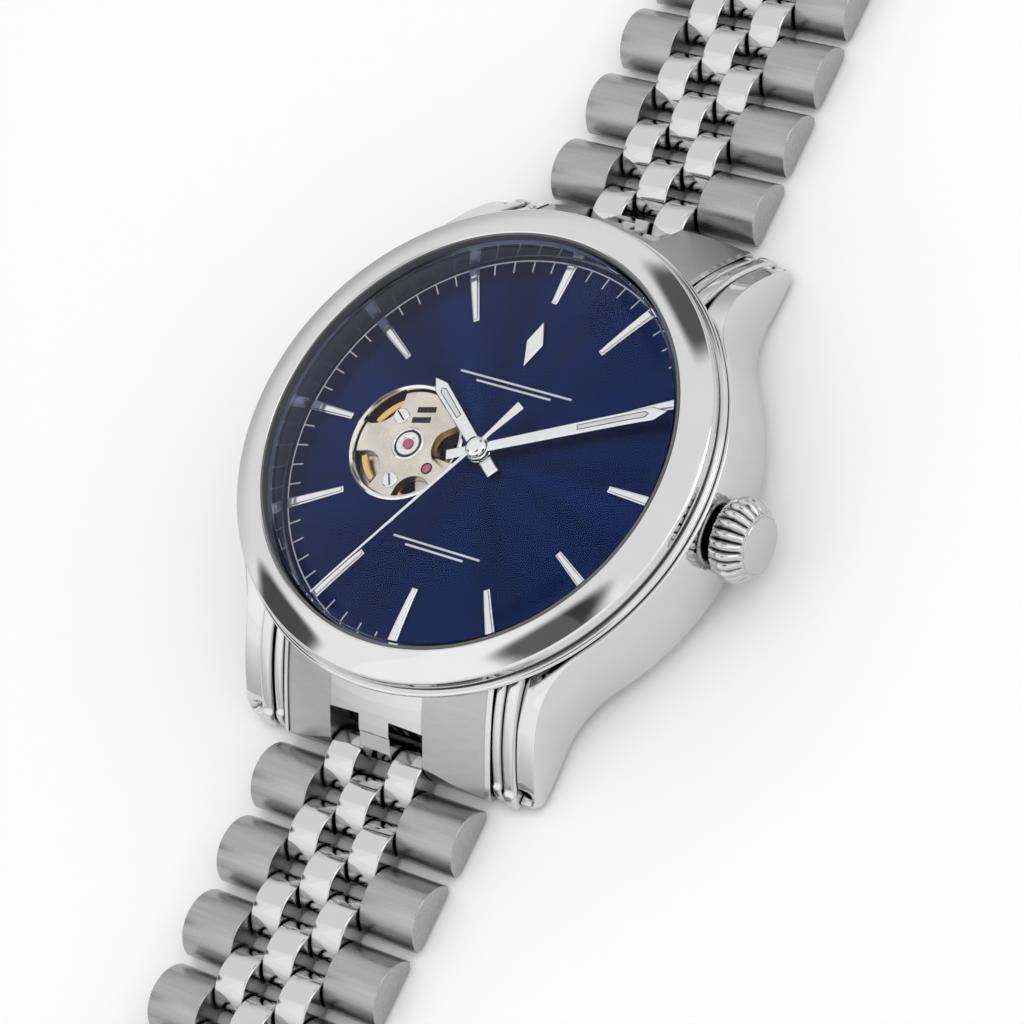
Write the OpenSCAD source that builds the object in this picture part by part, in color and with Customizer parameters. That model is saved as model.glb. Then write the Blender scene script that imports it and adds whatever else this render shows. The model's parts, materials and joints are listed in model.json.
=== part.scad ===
// Open-heart automatic wristwatch: steel case, domed crystal, five-column link bracelet with a folding clasp.
// Millimetres. Origin on the case axis at the flat of the case back, +X towards 3 o'clock (the crown),
// +Y towards 12 o'clock, +Z towards the crystal. The bracelet lies flat, opened at the clasp.

/* [Case] */
// radius over the polished flank
case_r = 21.3; // [19:0.1:23]
// height of the flank's lower edge above the case back
case_z0 = 1.2; // [0.8:0.1:2]
// height of the flank's upper edge
case_z1 = 8.3; // [7:0.1:9]
// distance from the case axis to a lug's tip
lug_tip_y = 24.7; // [23:0.1:27]
// half of the gap between the lugs
lug_inner_x = 10.3; // [8.3:0.1:12.3]
// half of the width over the lugs
lug_outer_x = 14.3; // [12:0.1:16]

/* [Bezel and crystal] */
// outer radius of the bezel
bezel_r = 20.6; // [19:0.1:22]
// radius of the crystal
crystal_r = 17.8; // [16:0.1:19]
// height of the crystal's centre above the case back
crystal_top = 12.0; // [11:0.1:13]

/* [Dial] */
// radius of the dial plate
dial_r = 17.6; // [16:0.1:18]
// height of the dial's face above the case back
dial_z = 7.6; // [7:0.1:8]
// X position of the open-heart aperture
heart_x = -7.1; // [-9:0.1:-6]
// Y position of the open-heart aperture
heart_y = -0.8; // [-3:0.1:3]
// radius of the open-heart aperture
heart_r = 4.8; // [3:0.1:5.5]
// radius at which the hour batons end
baton_end = 16.9; // [15:0.1:17]

/* [Time shown at rest] */
// clockwise angle of the hour hand from 12 o'clock
hour_angle = 305.3; // [0:0.1:360]
// clockwise angle of the minute hand from 12 o'clock
minute_angle = 63.5; // [0:0.1:360]
// clockwise angle of the seconds hand from 12 o'clock
seconds_angle = 208; // [0:1:360]

/* [Crown] */
// largest radius of the crown
crown_r = 3.5; // [2.5:0.1:4.5]
// number of flutes round the crown
flute_count = 22; // [16:1:36]
// height of the crown's axis above the case back
crown_z = 4.7; // [4:0.1:5.5]

/* [Bracelet] */
// number of link units on each side of the case
unit_count = 8; // [4:1:10]
// spacing of the link pins, half of one unit
pin_pitch = 3.225; // [3:0.025:4]
// distance from the case axis to the first link pin
first_pin_y = 23.35; // [22:0.05:25]
// bracelet width at the lugs
strap_w = 20; // [18:0.5:24]
// width lost at each unit
strap_taper = 0.42; // [0:0.01:0.8]
// length of one link along the bracelet
link_len = 5.85; // [5:0.05:6.2]
// thickness of a link
link_h = 2.8; // [2:0.1:4]
// radius of a link pin
pin_r = 0.5; // [0.3:0.05:0.8]

/* [Clasp] */
// length of the folding clasp's cover
clasp_len = 26; // [20:1:32]
// thickness of the clasp's cover
clasp_h = 4.4; // [3.5:0.1:6]

/* [Hidden] */
$fn = 96;
eps = 0.01;
gap = 0.12;              // side clearance between neighbouring link columns
run = 0.05;              // running clearance of a pin in its bore
pin_z = 1.35;            // height of every link pin
center_x = 1.45;         // half width of the centre link
inner_x0 = center_x + gap;
inner_x1 = 4.43;         // far side of an intermediate link
outer_x0 = inner_x1 + gap;
unit_pitch = 2 * pin_pitch;
clasp_y0 = first_pin_y + unit_count * unit_pitch;   // the pin that carries the clasp
clasp_w = strap_w - strap_taper * (unit_count + 1);
plate_z = 5.4;           // underside of the main plate
plate_t = 0.95;
bridge_z = 2.95;         // underside of the bridges
bridge_t = 0.5;
rotor_z = 2.0;
m_center = 0.11333;       // gear modules
third_d = m_center * 45;
third_dir = 98;
m_third = third_d / 42.5;
m_escape = 0.11;
escape_d = m_escape * 38.5;
escape_dir = 238;
m_barrel = 0.13;
barrel_d = m_barrel * 45;
barrel_dir = -32;
m_motion1 = 0.12;
motion_d = m_motion1 * 24;
m_motion2 = motion_d / 25;
motion_dir = 20;
third_x = third_d * cos(third_dir);
third_y = third_d * sin(third_dir);
escape_x = escape_d * cos(escape_dir);
escape_y = escape_d * sin(escape_dir);
barrel_x = barrel_d * cos(barrel_dir);
barrel_y = barrel_d * sin(barrel_dir);
minute_x = motion_d * cos(motion_dir);
minute_y = motion_d * sin(motion_dir);
lever_dir = atan2(heart_y - escape_y, heart_x - escape_x);
lever_d = 2.45;
fork_x = escape_x + lever_d * cos(lever_dir);
fork_y = escape_y + lever_d * sin(lever_dir);
stem_r = 0.5;
pillar_dirs = [75, 150, 235, 290];   // directions of the bridge pillars
link_seat_r = 19.7;      // case wall behind the end links

// ---------- shared shapes ----------

// ring about +Z from z0 to z1
module ring(r_out, r_in, z0, z1) {
    translate([0, 0, z0])
        difference() {
            cylinder(r = r_out, h = z1 - z0);
            translate([0, 0, -1])
                cylinder(r = r_in, h = z1 - z0 + 2);
        }
}

// disc about +Z from z0 to z1
module disc(r, z0, z1) {
    translate([0, 0, z0])
        cylinder(r = r, h = z1 - z0);
}

// rod along X
module rod_x(x0, x1, r) {
    translate([x0, 0, 0])
        rotate([0, 90, 0])
            cylinder(r = r, h = x1 - x0);
}

// extrudes a (y, z) outline along X from x0 to x1
module along_x(x0, x1) {
    translate([x0, 0, 0])
        rotate([90, 0, 90])
            linear_extrude(height = x1 - x0)
                children();
}

// outline of a toothed wheel with one tooth centred on angle `first`
module wheel_outline(teeth, module_mm, first) {
    tip = module_mm * (teeth / 2 + 0.9);
    root = module_mm * (teeth / 2 - 1.2);
    step = 360 / teeth;
    polygon([for (i = [0 : teeth - 1]) for (k = [0 : 3])
        let (a = first + i * step + [-0.27, -0.11, 0.11, 0.27][k] * step, r = [root, tip, tip, root][k])
            [r * cos(a), r * sin(a)]]);
}

// spoked wheel: toothed rim, hub and arms
module train_wheel(teeth, module_mm, first, z0, z1, arms, hub) {
    pitch_r = module_mm * teeth / 2;
    rim_in = pitch_r - 3.2 * module_mm - 0.15;
    translate([0, 0, z0])
        linear_extrude(height = z1 - z0) {
            difference() {
                wheel_outline(teeth, module_mm, first);
                circle(r = rim_in);
            }
            circle(r = hub);
            for (i = [0 : arms - 1])
                rotate(i * 360 / arms)
                    translate([0, -0.16])
                        square([rim_in + 0.1, 0.32]);
        }
}

module pinion(teeth, module_mm, first, z0, z1) {
    translate([0, 0, z0])
        linear_extrude(height = z1 - z0)
            wheel_outline(teeth, module_mm, first);
}

// ---------- case ----------

// height of the lug's upper edge at a distance y from the case axis
function lug_top(y, lift) =
    let (t = max(0, min(1, (y - 12) / (lug_tip_y - 12)))) lift + (case_z1 - 0.4) * (1 - pow(t, 2.2));

// side outline of one lug tier; `lift` raises its upper edge, `short` pulls its tip back
module lug_side(lift, short) {
    offset(r = 0.6)
        offset(delta = -0.6)
            polygon(concat(
                [[8, 1.2], [8, lug_top(8, lift)]],
                [for (i = [0 : 14]) let (y = 12 + (lug_tip_y - short - 12) * i / 14) [y, lug_top(y, lift)]],
                [[lug_tip_y - short, 0.2], [lug_tip_y - 3.4, 0.2], [17.5, 1.2]]));
}

module flank_profile() {
    polygon(concat(
        [[17.9, case_z0], [20.1, case_z0]],
        [for (i = [0 : 8]) let (t = i / 8)
            [case_r - 0.15 + 0.25 * sin(180 * t) - 0.55 * pow(1 - t, 6), 1.6 + (case_z1 - 1.6) * t]],
        [[case_r - 0.45, case_z1 + 0.12], [case_r - 0.32, case_z1 + 0.3], [case_r - 0.42, case_z1 + 0.52],
         [case_r - 0.9, case_z1 + 0.6], [17.9, case_z1 + 0.6]]));
}

// plan of the flank with the lugs blended into it
module lug_plan(x0, x1) {
    intersection() {
        offset(r = -4)
            offset(delta = 4) {
                circle(r = case_r);
                square([2 * lug_outer_x, 2 * lug_tip_y], center = true);
            }
        for (s = [-1, 1])
            translate([s > 0 ? x0 : -x1, -30])
                square([x1 - x0, 60]);
    }
}

module lug_tier(x0, x1, lift, short) {
    intersection() {
        linear_extrude(height = 9)
            lug_plan(x0, x1);
        for (m = [0, 1])
            mirror([0, m, 0])
                along_x(-20, 20)
                    lug_side(lift, short);
    }
}

module case_middle() {
    color("silver")
        difference() {
            union() {
                rotate_extrude()
                    flank_profile();
                difference() {
                    union() {
                        lug_tier(lug_inner_x, 20, 0, 0.55);
                        lug_tier(lug_inner_x, lug_inner_x + 0.9, 0.42, 0.25);
                        lug_tier(lug_inner_x + 1.1, lug_inner_x + 2.3, 0.62, 0);
                    }
                    disc(18.5, -1, 12);
                    // groove between the ribs and the flank plate
                    for (s = [-1, 1])
                        intersection() {
                            translate([s * (lug_inner_x + 2.4), 0, 5])
                                cube([0.2, 60, 12], center = true);
                            for (m = [0, 1])
                                mirror([0, m, 0])
                                    along_x(-20, 20)
                                        difference() {
                                            translate([case_r - 1.4, 0])
                                                square([10, 10]);
                                            translate([0, -0.35])
                                                lug_side(0, 0.75);
                                        }
                        }
                }
            }
            // recess between the lugs, under the bead, that takes each end link
            difference() {
                translate([-lug_inner_x, -30, -1])
                    cube([2 * lug_inner_x, 60, case_z1 - 0.55 + 1]);
                disc(link_seat_r, -2, 12);
            }
            // dial seat and movement cavity
            disc(dial_r + 0.3, 6.9, 12);
            disc(17.9, 1.9, 7);
            // rebate for the case back
            disc(18.2, 0, 1.95);
            // stem tube bore
            translate([0, 0, crown_z])
                rod_x(15, 25, stem_r + 0.05);
            // holes for the spring bars' tips
            for (m = [0, 1])
                mirror([0, m, 0])
                    translate([0, first_pin_y, pin_z])
                        rod_x(-lug_inner_x - 1.3, lug_inner_x + 1.3, 0.35);
        }
}

module bezel() {
    z0 = case_z1 + 0.62;
    color("silver")
        rotate_extrude()
            polygon(concat(
                [[18.2, z0], [bezel_r - 0.35, z0], [bezel_r - 0.3, z0 + 0.25], [bezel_r, z0 + 0.32],
                 [bezel_r, z0 + 1.1], [bezel_r - 0.12, z0 + 1.3]],
                [for (i = [1 : 8]) let (t = i / 8)
                    [bezel_r - 0.12 - (bezel_r - 18.27) * t,
                     z0 + 1.3 + 0.72 * pow(t, 0.75) + 0.16 * sin(180 * t)]],
                [[18.0, z0 + 1.9], [18.0, z0 + 0.6], [18.2, z0 + 0.5]]));
}

// outline of the crystal's dome; `inset` moves it inwards
function dome_pts(inset) = [for (i = [0 : 16]) let (t = i / 16, r = (crystal_r - inset) * cos(90 * t))
    [r, crystal_top - inset * 0.95 - 1.15 * pow(r / crystal_r, 2) - 0.5 * pow(r / crystal_r, 14)]];

module crystal() {
    color("white", 0.3)
        rotate_extrude()
            polygon(concat(
                [[16.9, 9.7], [crystal_r, 9.7]],
                dome_pts(0),
                [for (i = [0 : 16]) dome_pts(1.1)[16 - i]],
                [[16.9, 9.9]]));
}

module rehaut_ring() {
    color("darkslategray")
        rotate_extrude()
            polygon([[17.15, dial_z + 0.02], [17.85, dial_z + 0.02], [17.85, 8.92], [17.9, 8.92], [17.9, 9.6],
                [17.3, 9.6]]);
}

module case_back() {
    color("silver")
        difference() {
            rotate_extrude()
                polygon([[12.4, 0.35], [12.9, 0], [17.2, 0], [17.9, 0.5], [18.1, 1.1], [18.1, 1.7],
                    [17.6, 1.85], [12.9, 1.85], [12.9, 1.5], [12.4, 1.5]]);
            // opening notches
            for (i = [0 : 5])
                rotate(30 + 60 * i)
                    translate([15.6, 0, -1])
                        cylinder(r = 0.9, h = 1.6);
        }
}

module case_back_glass() {
    color("white", 0.3)
        rotate_extrude()
            polygon([[0, 0], [12.3, 0], [12.38, 0.08], [12.38, 1.52], [12.88, 1.52], [12.88, 1.8], [0, 1.8]]);
}

// ---------- crown and stem ----------

module crown() {
    x0 = case_r + 0.35;
    color("silver")
        translate([0, 0, crown_z])
            rotate([0, 90, 0])
                difference() {
                    rotate_extrude()
                        polygon(concat(
                            [[0, x0], [2.7, x0], [2.8, x0 + 0.2], [crown_r - 0.35, x0 + 0.3]],
                            [for (i = [0 : 10]) let (t = i / 10)
                                [crown_r - 0.22 + 0.22 * sin(180 * t) - 0.7 * pow(t, 3),
                                 x0 + 0.45 + 2.3 * t]],
                            [[2.45, x0 + 2.95], [2.3, x0 + 2.95], [2.2, x0 + 3.0],
                             [1.2, x0 + 3.12], [0, x0 + 3.16]]));
                    for (i = [0 : flute_count - 1])
                        rotate(i * 360 / flute_count)
                            translate([crown_r + 0.08, 0, x0 - 1])
                                cylinder(r = 0.3, h = 3.85);
                    translate([0, 0, x0 - 1])
                        cylinder(r = stem_r, h = 2.6);
                }
}

module winding_stem() {
    color("gray")
        translate([0, 0, crown_z]) {
            rod_x(13.4, case_r + 1.95, stem_r);
            rod_x(15.6, 15.9, stem_r + 0.25);
            translate([10.9, -0.3, -0.3])
                cube([2.55, 0.6, 0.6]);
        }
}

module winding_pinion() {
    color("goldenrod")
        translate([0, 0, crown_z])
            difference() {
                union() {
                    translate([11, 0, 0])
                        rotate([0, 90, 0])
                            linear_extrude(height = 1.3)
                                wheel_outline(16, 0.125, 0);
                    rod_x(10.7, 11.1, 0.7);
                }
                translate([10, -0.38, -0.38])
                    cube([4, 0.76, 0.76]);
            }
}

// ---------- dial side ----------

module dial() {
    color("midnightblue")
        difference() {
            disc(dial_r, dial_z - 0.4, dial_z);
            disc(1.05, 5, 9);
            translate([heart_x, heart_y, 0])
                disc(heart_r + 0.02, 5, 9);
        }
}

// fine circle with sixty strokes
module minute_track() {
    color("white")
        translate([0, 0, dial_z])
            linear_extrude(height = 0.02) {
                difference() {
                    circle(r = 16.98);
                    circle(r = 16.88);
                }
                for (i = [0 : 59])
                    if (i % 5 != 0)
                        rotate(i * 6)
                            translate([16, -0.055])
                                square([0.9, 0.11]);
            }
}

module aperture_ring() {
    color("silver")
        translate([heart_x, heart_y, 0])
            rotate_extrude()
                polygon([[heart_r - 0.06, dial_z - 0.4], [heart_r, dial_z - 0.4], [heart_r, dial_z],
                    [heart_r + 0.32, dial_z], [heart_r + 0.32, dial_z + 0.08],
                    [heart_r + 0.16, dial_z + 0.16], [heart_r - 0.06, dial_z + 0.08]]);
}

// tapered baton pointing outwards along +X: a broad foot and a narrower crest
module baton(r0, r1) {
    translate([0, 0, dial_z]) {
        linear_extrude(height = 0.2)
            polygon([[r0, -0.27], [r1, -0.45], [r1, 0.45], [r0, 0.27]]);
        translate([0, 0, 0.2])
            linear_extrude(height = 0.14)
                polygon([[r0 + 0.12, -0.15], [r1 - 0.12, -0.3], [r1 - 0.12, 0.3], [r0 + 0.12, 0.15]]);
    }
}

// the batons at 12 and 9 are shorter than the rest
module hour_markers() {
    color("white")
        for (h = [0 : 11])
            rotate(90 - 30 * h)
                baton(h == 0 ? 13.5 : (h == 9 ? 12.85 : 12.06), baton_end);
}

// ---------- hands ----------

// pointed hand along +Y with a square tail and a slot near the tip
module hand_outline(len, w_hub, w_max, tail, slot0, slot1) {
    difference() {
        union() {
            polygon([[-w_hub / 2, 0], [-w_max / 2, len - 2.2 * w_max], [0, len],
                [w_max / 2, len - 2.2 * w_max], [w_hub / 2, 0]]);
            translate([-w_hub / 2, -tail])
                square([w_hub, tail + 0.01]);
            circle(r = 1.05);
        }
        polygon([[-0.16, slot0], [-0.22, slot1 - 0.5], [0, slot1], [0.22, slot1 - 0.5], [0.16, slot0]]);
        circle(r = 0.3 + run);
    }
}

module hour_hand() {
    z = dial_z + 0.45;
    color("white") {
        rotate(-hour_angle)
            translate([0, 0, z])
                linear_extrude(height = 0.2)
                    difference() {
                        hand_outline(8.5, 1.15, 1.75, 2.6, 4.6, 7.3);
                        circle(r = 0.72);
                    }
        ring(1.0, 0.72, z - 0.35, z + 0.2);
    }
}

module minute_hand() {
    z = dial_z + 0.85;
    color("white") {
        rotate(-minute_angle)
            translate([0, 0, z])
                linear_extrude(height = 0.2)
                    hand_outline(15.8, 1.0, 1.45, 2.7, 9.6, 14.2);
        // cannon pinion under the hand
        ring(0.6, 0.3 + run, 6.1, z + 0.01);
        difference() {
            pinion(12, m_motion1, motion_dir, 6.45, 6.62);
            disc(0.3 + run, 6, 7);
        }
    }
}

module seconds_hand() {
    z = dial_z + 1.25;
    color("white") {
        rotate(-seconds_angle)
            translate([0, 0, z])
                linear_extrude(height = 0.12)
                    polygon([[-0.16, 0], [-0.07, 17], [0.07, 17], [0.16, 0], [0.17, -1.2], [0.42, -4.8],
                        [-0.42, -4.8], [-0.17, -1.2]]);
        disc(0.85, z - 0.12, z + 0.14);
        translate([0, 0, z + 0.14])
            cylinder(r1 = 0.85, r2 = 0.55, h = 0.16);
        disc(0.3, z - 0.6, z - 0.1);
    }
}

// ---------- movement ----------

module movement_ring() {
    color("gray")
        difference() {
            ring(17.7, 14.2, 2.2, 6.85);
            translate([0, 0, crown_z])
                rod_x(12, 20, 0.85);
        }
}

module main_plate() {
    color("lightgray")
        difference() {
            union() {
                disc(14.0, plate_z, plate_z + plate_t);
                ring(14.0, 12.9, 3.5, plate_z + eps);
                for (a = pillar_dirs)
                    rotate(a)
                        translate([11.9, 0, 3.5])
                            cylinder(r = 0.85, h = plate_z - 3.5 + eps);
            }
            // clearance for the train arbors
            disc(0.62, plate_z - 1, 8);
            // windows round the balance, leaving a three-armed frame with a round centre
            translate([heart_x, heart_y, plate_z - 1])
                linear_extrude(height = 3)
                    for (i = [0 : 2])
                        rotate(28 + 120 * i)
                            offset(r = 0.35)
                                offset(delta = -0.35)
                                    difference() {
                                        intersection() {
                                            circle(r = 4.45);
                                            polygon([[0, 0], [8, -5.2], [8, 5.2]]);
                                        }
                                        circle(r = 2.05);
                                        translate([1.2, 2.9])
                                            circle(r = 1.35);
                                    }
            translate([heart_x, heart_y, 0])
                disc(0.72, plate_z - 1, 8);
            translate([third_x, third_y, 0])
                disc(0.32, plate_z - 1, 8);
            translate([escape_x, escape_y, 0])
                disc(0.5, plate_z - 1, 8);
            translate([fork_x, fork_y, 0])
                disc(0.4, plate_z - 1, 8);
            translate([barrel_x, barrel_y, 0])
                disc(0.95, plate_z - 1, 8);
            // stem recess
            translate([9.5, -1.3, 3])
                cube([8, 2.6, crown_z + 1.25 - 3]);
            translate([0, 0, crown_z])
                rod_x(9.5, 16, 1.2);
        }
}

module train_bridge() {
    color("lightgray")
        difference() {
            translate([0, 0, bridge_z])
                linear_extrude(height = bridge_t)
                    difference() {
                        circle(r = 12.8);
                        translate([heart_x - 0.6, heart_y])
                            circle(r = 5.6);
                        translate([-15, heart_y - 2.6])
                            square([8, 5.2]);
                        circle(r = 1.9);
                    }
            for (p = [[third_x, third_y, 0.32], [escape_x, escape_y, 0.32], [barrel_x, barrel_y, 0.95]])
                translate([p[0], p[1], 0])
                    disc(p[2], 2, 5);
            for (a = pillar_dirs)
                rotate(a)
                    translate([11.9, 0, 2])
                        cylinder(r = 0.42, h = 2);
        }
}

module balance_bridge() {
    color("lightgray")
        difference() {
            union() {
                translate([0, 0, bridge_z])
                    linear_extrude(height = bridge_t)
                        union() {
                            translate([heart_x, heart_y])
                                circle(r = 1.5);
                            translate([heart_x - 5.6, heart_y - 1.2])
                                square([5.6, 2.4]);
                        }
                translate([heart_x - 4.85, heart_y, bridge_z + bridge_t - eps])
                    cylinder(r = 0.55, h = plate_z - bridge_z - bridge_t + eps);
            }
            translate([heart_x, heart_y, 0])
                disc(0.5, 2, 5);
        }
}

module balance_wheel() {
    color("gold")
        translate([heart_x, heart_y, 0]) {
            ring(3.9, 3.35, 4.35, 4.8);
            translate([0, 0, 4.45])
                linear_extrude(height = 0.2) {
                    circle(r = 0.7);
                    for (i = [0 : 2])
                        rotate(120 * i + 15)
                            translate([0, -0.28])
                                square([3.4, 0.56]);
                }
            // timing screws
            for (i = [0 : 11])
                rotate(30 * i)
                    translate([3.6, 0, 4.8 - eps])
                        cylinder(r = 0.16, h = 0.14);
            // staff and roller
            disc(0.22, 3.3, 6.0);
            disc(0.42, 4.0, 4.2);
        }
}

module hairspring() {
    turns = 7;
    steps = 24 * turns;
    color("steelblue")
        translate([heart_x, heart_y, 3.68])
            linear_extrude(height = 0.16)
                polygon(concat(
                    [for (i = [0 : steps]) let (a = i * 15, r = 0.32 + 1.75 * i / steps)
                        [r * cos(a), r * sin(a)]],
                    [for (j = [0 : steps]) let (i = steps - j, a = i * 15, r = 0.38 + 1.75 * i / steps)
                        [r * cos(a), r * sin(a)]]));
}

module pallet_fork() {
    color("silver")
        translate([fork_x, fork_y, 4.0]) {
            linear_extrude(height = 0.18)
                rotate(lever_dir) {
                    circle(r = 0.4);
                    polygon([[0, -0.22], [2.3, -0.12], [2.3, 0.12], [0, 0.22]]);
                    difference() {
                        polygon([[2.1, -0.1], [2.62, -0.38], [2.62, 0.38], [2.1, 0.1]]);
                        polygon([[2.3, 0], [2.8, -0.16], [2.8, 0.16]]);
                    }
                    for (s = [-1, 1])
                        polygon([[0.1, s * 0.1], [-0.25, s * 0.2], [-0.75, s * 1.28], [-0.4, s * 1.34]]);
                }
            translate([0, 0, -0.7])
                cylinder(r = 0.12, h = 2.2);
        }
}

module escape_wheel() {
    color("silver")
        translate([escape_x, escape_y, 0]) {
            translate([0, 0, 4.0])
                linear_extrude(height = 0.18)
                    difference() {
                        polygon([for (i = [0 : 14]) for (k = [0 : 2])
                            let (a = lever_dir + 12 + i * 24 + [0, 4, 9][k], r = [1.62, 1.66, 1.12][k])
                                [r * cos(a), r * sin(a)]]);
                        for (i = [0 : 3])
                            rotate(45 + 90 * i)
                                translate([0.68, 0])
                                    circle(r = 0.26);
                    }
            pinion(7, m_escape, escape_dir + 180 + 180 / 7, 3.68, 4.01);
            // arbor, which ends under the centre wheel
            disc(0.12, 3.2, 4.94);
        }
}

module fourth_wheel() {
    color("goldenrod") {
        difference() {
            train_wheel(70, m_escape, escape_dir, 3.72, 3.86, 4, 0.8);
            disc(0.25, 3, 5);
        }
        pinion(10, m_third, third_dir + 180 / 10, 3.85, 4.22);
        disc(0.3, 3.2, dial_z + 0.66);
    }
}

module third_wheel() {
    color("goldenrod")
        translate([third_x, third_y, 0]) {
            train_wheel(75, m_third, third_dir + 180, 3.96, 4.1, 4, 0.8);
            pinion(10, m_center, third_dir + 180 + 180 / 10, 4.98, 5.3);
            disc(0.2, 3.0, 5.95);
        }
}

module center_wheel() {
    color("goldenrod")
        difference() {
            union() {
                train_wheel(80, m_center, third_dir, 5.06, 5.2, 4, 1.1);
                pinion(12, m_barrel, barrel_dir, 4.5, 5.07);
                disc(0.55, 4.3, 6.08);
            }
            disc(0.3 + run, 4, 7);
        }
}

module barrel() {
    color("goldenrod")
        translate([barrel_x, barrel_y, 0]) {
            difference() {
                union() {
                    disc(4.85, 4.3, 4.95);
                    pinion(78, m_barrel, barrel_dir + 180 + 180 / 78, 4.6, 4.84);
                }
                // room for the coiled mainspring
                ring(4.5, 1.4, 4.42, 4.8);
            }
            disc(0.85, 3.0, 6.1);
        }
}

module hour_wheel() {
    color("goldenrod")
        difference() {
            union() {
                train_wheel(40, m_motion2, motion_dir, 6.68, 6.82, 4, 1.0);
                disc(0.72, 6.68, dial_z + 0.45);
            }
            disc(0.6 + run, 6, 9);
        }
}

module minute_wheel() {
    color("goldenrod")
        translate([minute_x, minute_y, 0]) {
            train_wheel(36, m_motion1, motion_dir + 180 + 180 / 36, 6.46, 6.6, 4, 0.7);
            pinion(10, m_motion2, motion_dir + 180 + 180 / 10, 6.59, 6.88);
        }
}

module rotor() {
    color("silver")
        difference() {
            union() {
                translate([0, 0, rotor_z + 0.1])
                    linear_extrude(height = 0.4)
                        difference() {
                            union() {
                                intersection() {
                                    circle(r = 12.4);
                                    translate([-13, -13])
                                        square([26, 12.4]);
                                }
                                circle(r = 2.4);
                            }
                            // lightening windows
                            for (i = [-1, 0, 1])
                                rotate(-90 + 42 * i)
                                    offset(r = 0.5)
                                        offset(delta = -0.5)
                                            polygon([[3.8, -1.2], [9.2, -2.9], [9.2, 2.9], [3.8, 1.2]]);
                        }
                // heavy rim
                intersection() {
                    ring(12.4, 10.4, rotor_z, rotor_z + 0.75);
                    translate([-13, -13, 0])
                        cube([26, 12.4, 6]);
                }
            }
            disc(1.0 + run, 0, 5);
        }
}

module rotor_bearing() {
    color("goldenrod") {
        disc(1.0, rotor_z, 2.8);
        disc(1.5, 2.7, 3.12);
        disc(0.5, 3.1, 3.15);
    }
}

module jewels() {
    color("deeppink") {
        // balance shock setting
        translate([heart_x, heart_y, 0])
            ring(0.7, 0.24, plate_z + 0.2, plate_z + plate_t + 0.02);
        for (p = [[third_x, third_y, 0.3, 0.21], [escape_x, escape_y, 0.48, 0.13],
                  [fork_x, fork_y, 0.38, 0.13]])
            translate([p[0], p[1], 0])
                ring(p[2], p[3], plate_z + 0.4, plate_z + plate_t);
        translate([third_x, third_y, 0])
            ring(0.3, 0.21, bridge_z, bridge_z + bridge_t);
        translate([escape_x, escape_y, 0])
            ring(0.3, 0.13, bridge_z, bridge_z + bridge_t);
    }
}

module movement_screws() {
    color("steelblue")
        for (a = pillar_dirs)
            rotate(a)
                translate([11.9, 0, 0])
                    difference() {
                        union() {
                            disc(0.75, bridge_z - 0.14, bridge_z - eps);
                            disc(0.4, bridge_z - eps, bridge_z + bridge_t);
                        }
                        translate([-1, -0.1, bridge_z - 0.3])
                            cube([2, 0.2, 0.22]);
                    }
}

// ---------- bracelet ----------

// D-shaped cross-section of a link, centred on y = 0
module link_outline() {
    arc_r = (link_len * link_len / 4 + link_h * link_h) / (2 * link_h);
    intersection() {
        translate([0, link_h - arc_r])
            circle(r = arc_r);
        polygon([[-link_len / 2 + 0.45, 0], [link_len / 2 - 0.45, 0], [link_len / 2, 0.4],
            [link_len / 2, link_h], [-link_len / 2, link_h], [-link_len / 2, 0.4]]);
    }
}

// unit i of one bracelet half, running along +Y: two intermediate links, then outer and centre links on pins
module link_unit(i) {
    y0 = first_pin_y + unit_pitch * (i - 1);
    half_w = (strap_w - strap_taper * (i - 1)) / 2;
    translate([0, y0, 0]) {
        for (s = [-1, 1])
            difference() {
                along_x(s > 0 ? inner_x0 : -inner_x1, s > 0 ? inner_x1 : -inner_x0)
                    translate([pin_pitch / 2, 0])
                        link_outline();
                for (k = [0, 1])
                    translate([0, pin_pitch * k, pin_z])
                        rod_x(-6, 6, pin_r + run);
            }
        // outer and centre links joined by their pins
        translate([0, pin_pitch * 1.5, 0]) {
            for (s = [-1, 1])
                along_x(s > 0 ? outer_x0 : -half_w, s > 0 ? half_w : -outer_x0)
                    link_outline();
            along_x(-center_x, center_x)
                link_outline();
        }
        for (k = [1, 2])
            translate([0, pin_pitch * k, pin_z])
                rod_x(-outer_x0 - 0.5, outer_x0 + 0.5, pin_r);
    }
}

module link_12(i) {
    color("silver")
        link_unit(i);
}

module link_6(i) {
    color("silver")
        mirror([0, 1, 0])
            link_unit(i);
}

// upper surface of an end link, falling away from the case; `lift` raises it
module end_link_slope(lift) {
    rotate_extrude()
        polygon(concat(
            [[link_seat_r + 0.12, 0.15]],
            [for (i = [0 : 10]) let (r = link_seat_r + 0.12 + 7.4 * i / 10)
                [r, lift + 7.9 - 7.6 * pow(max(0, r - 19) / 8, 1.25)]],
            [[27.22, 0.15]]));
}

// side outline of an end link with its rolled lip
module end_link_side() {
    tip = lug_tip_y - 0.15;
    offset(r = 0.5)
        offset(delta = -0.5)
            polygon([[12, 0.15], [12, 9], [22.8, 9], [23.3, 4.2], [24.2, 3.2], [tip, 2], [tip, 0.6],
                [tip - 0.5, 0.15]]);
}

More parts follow.
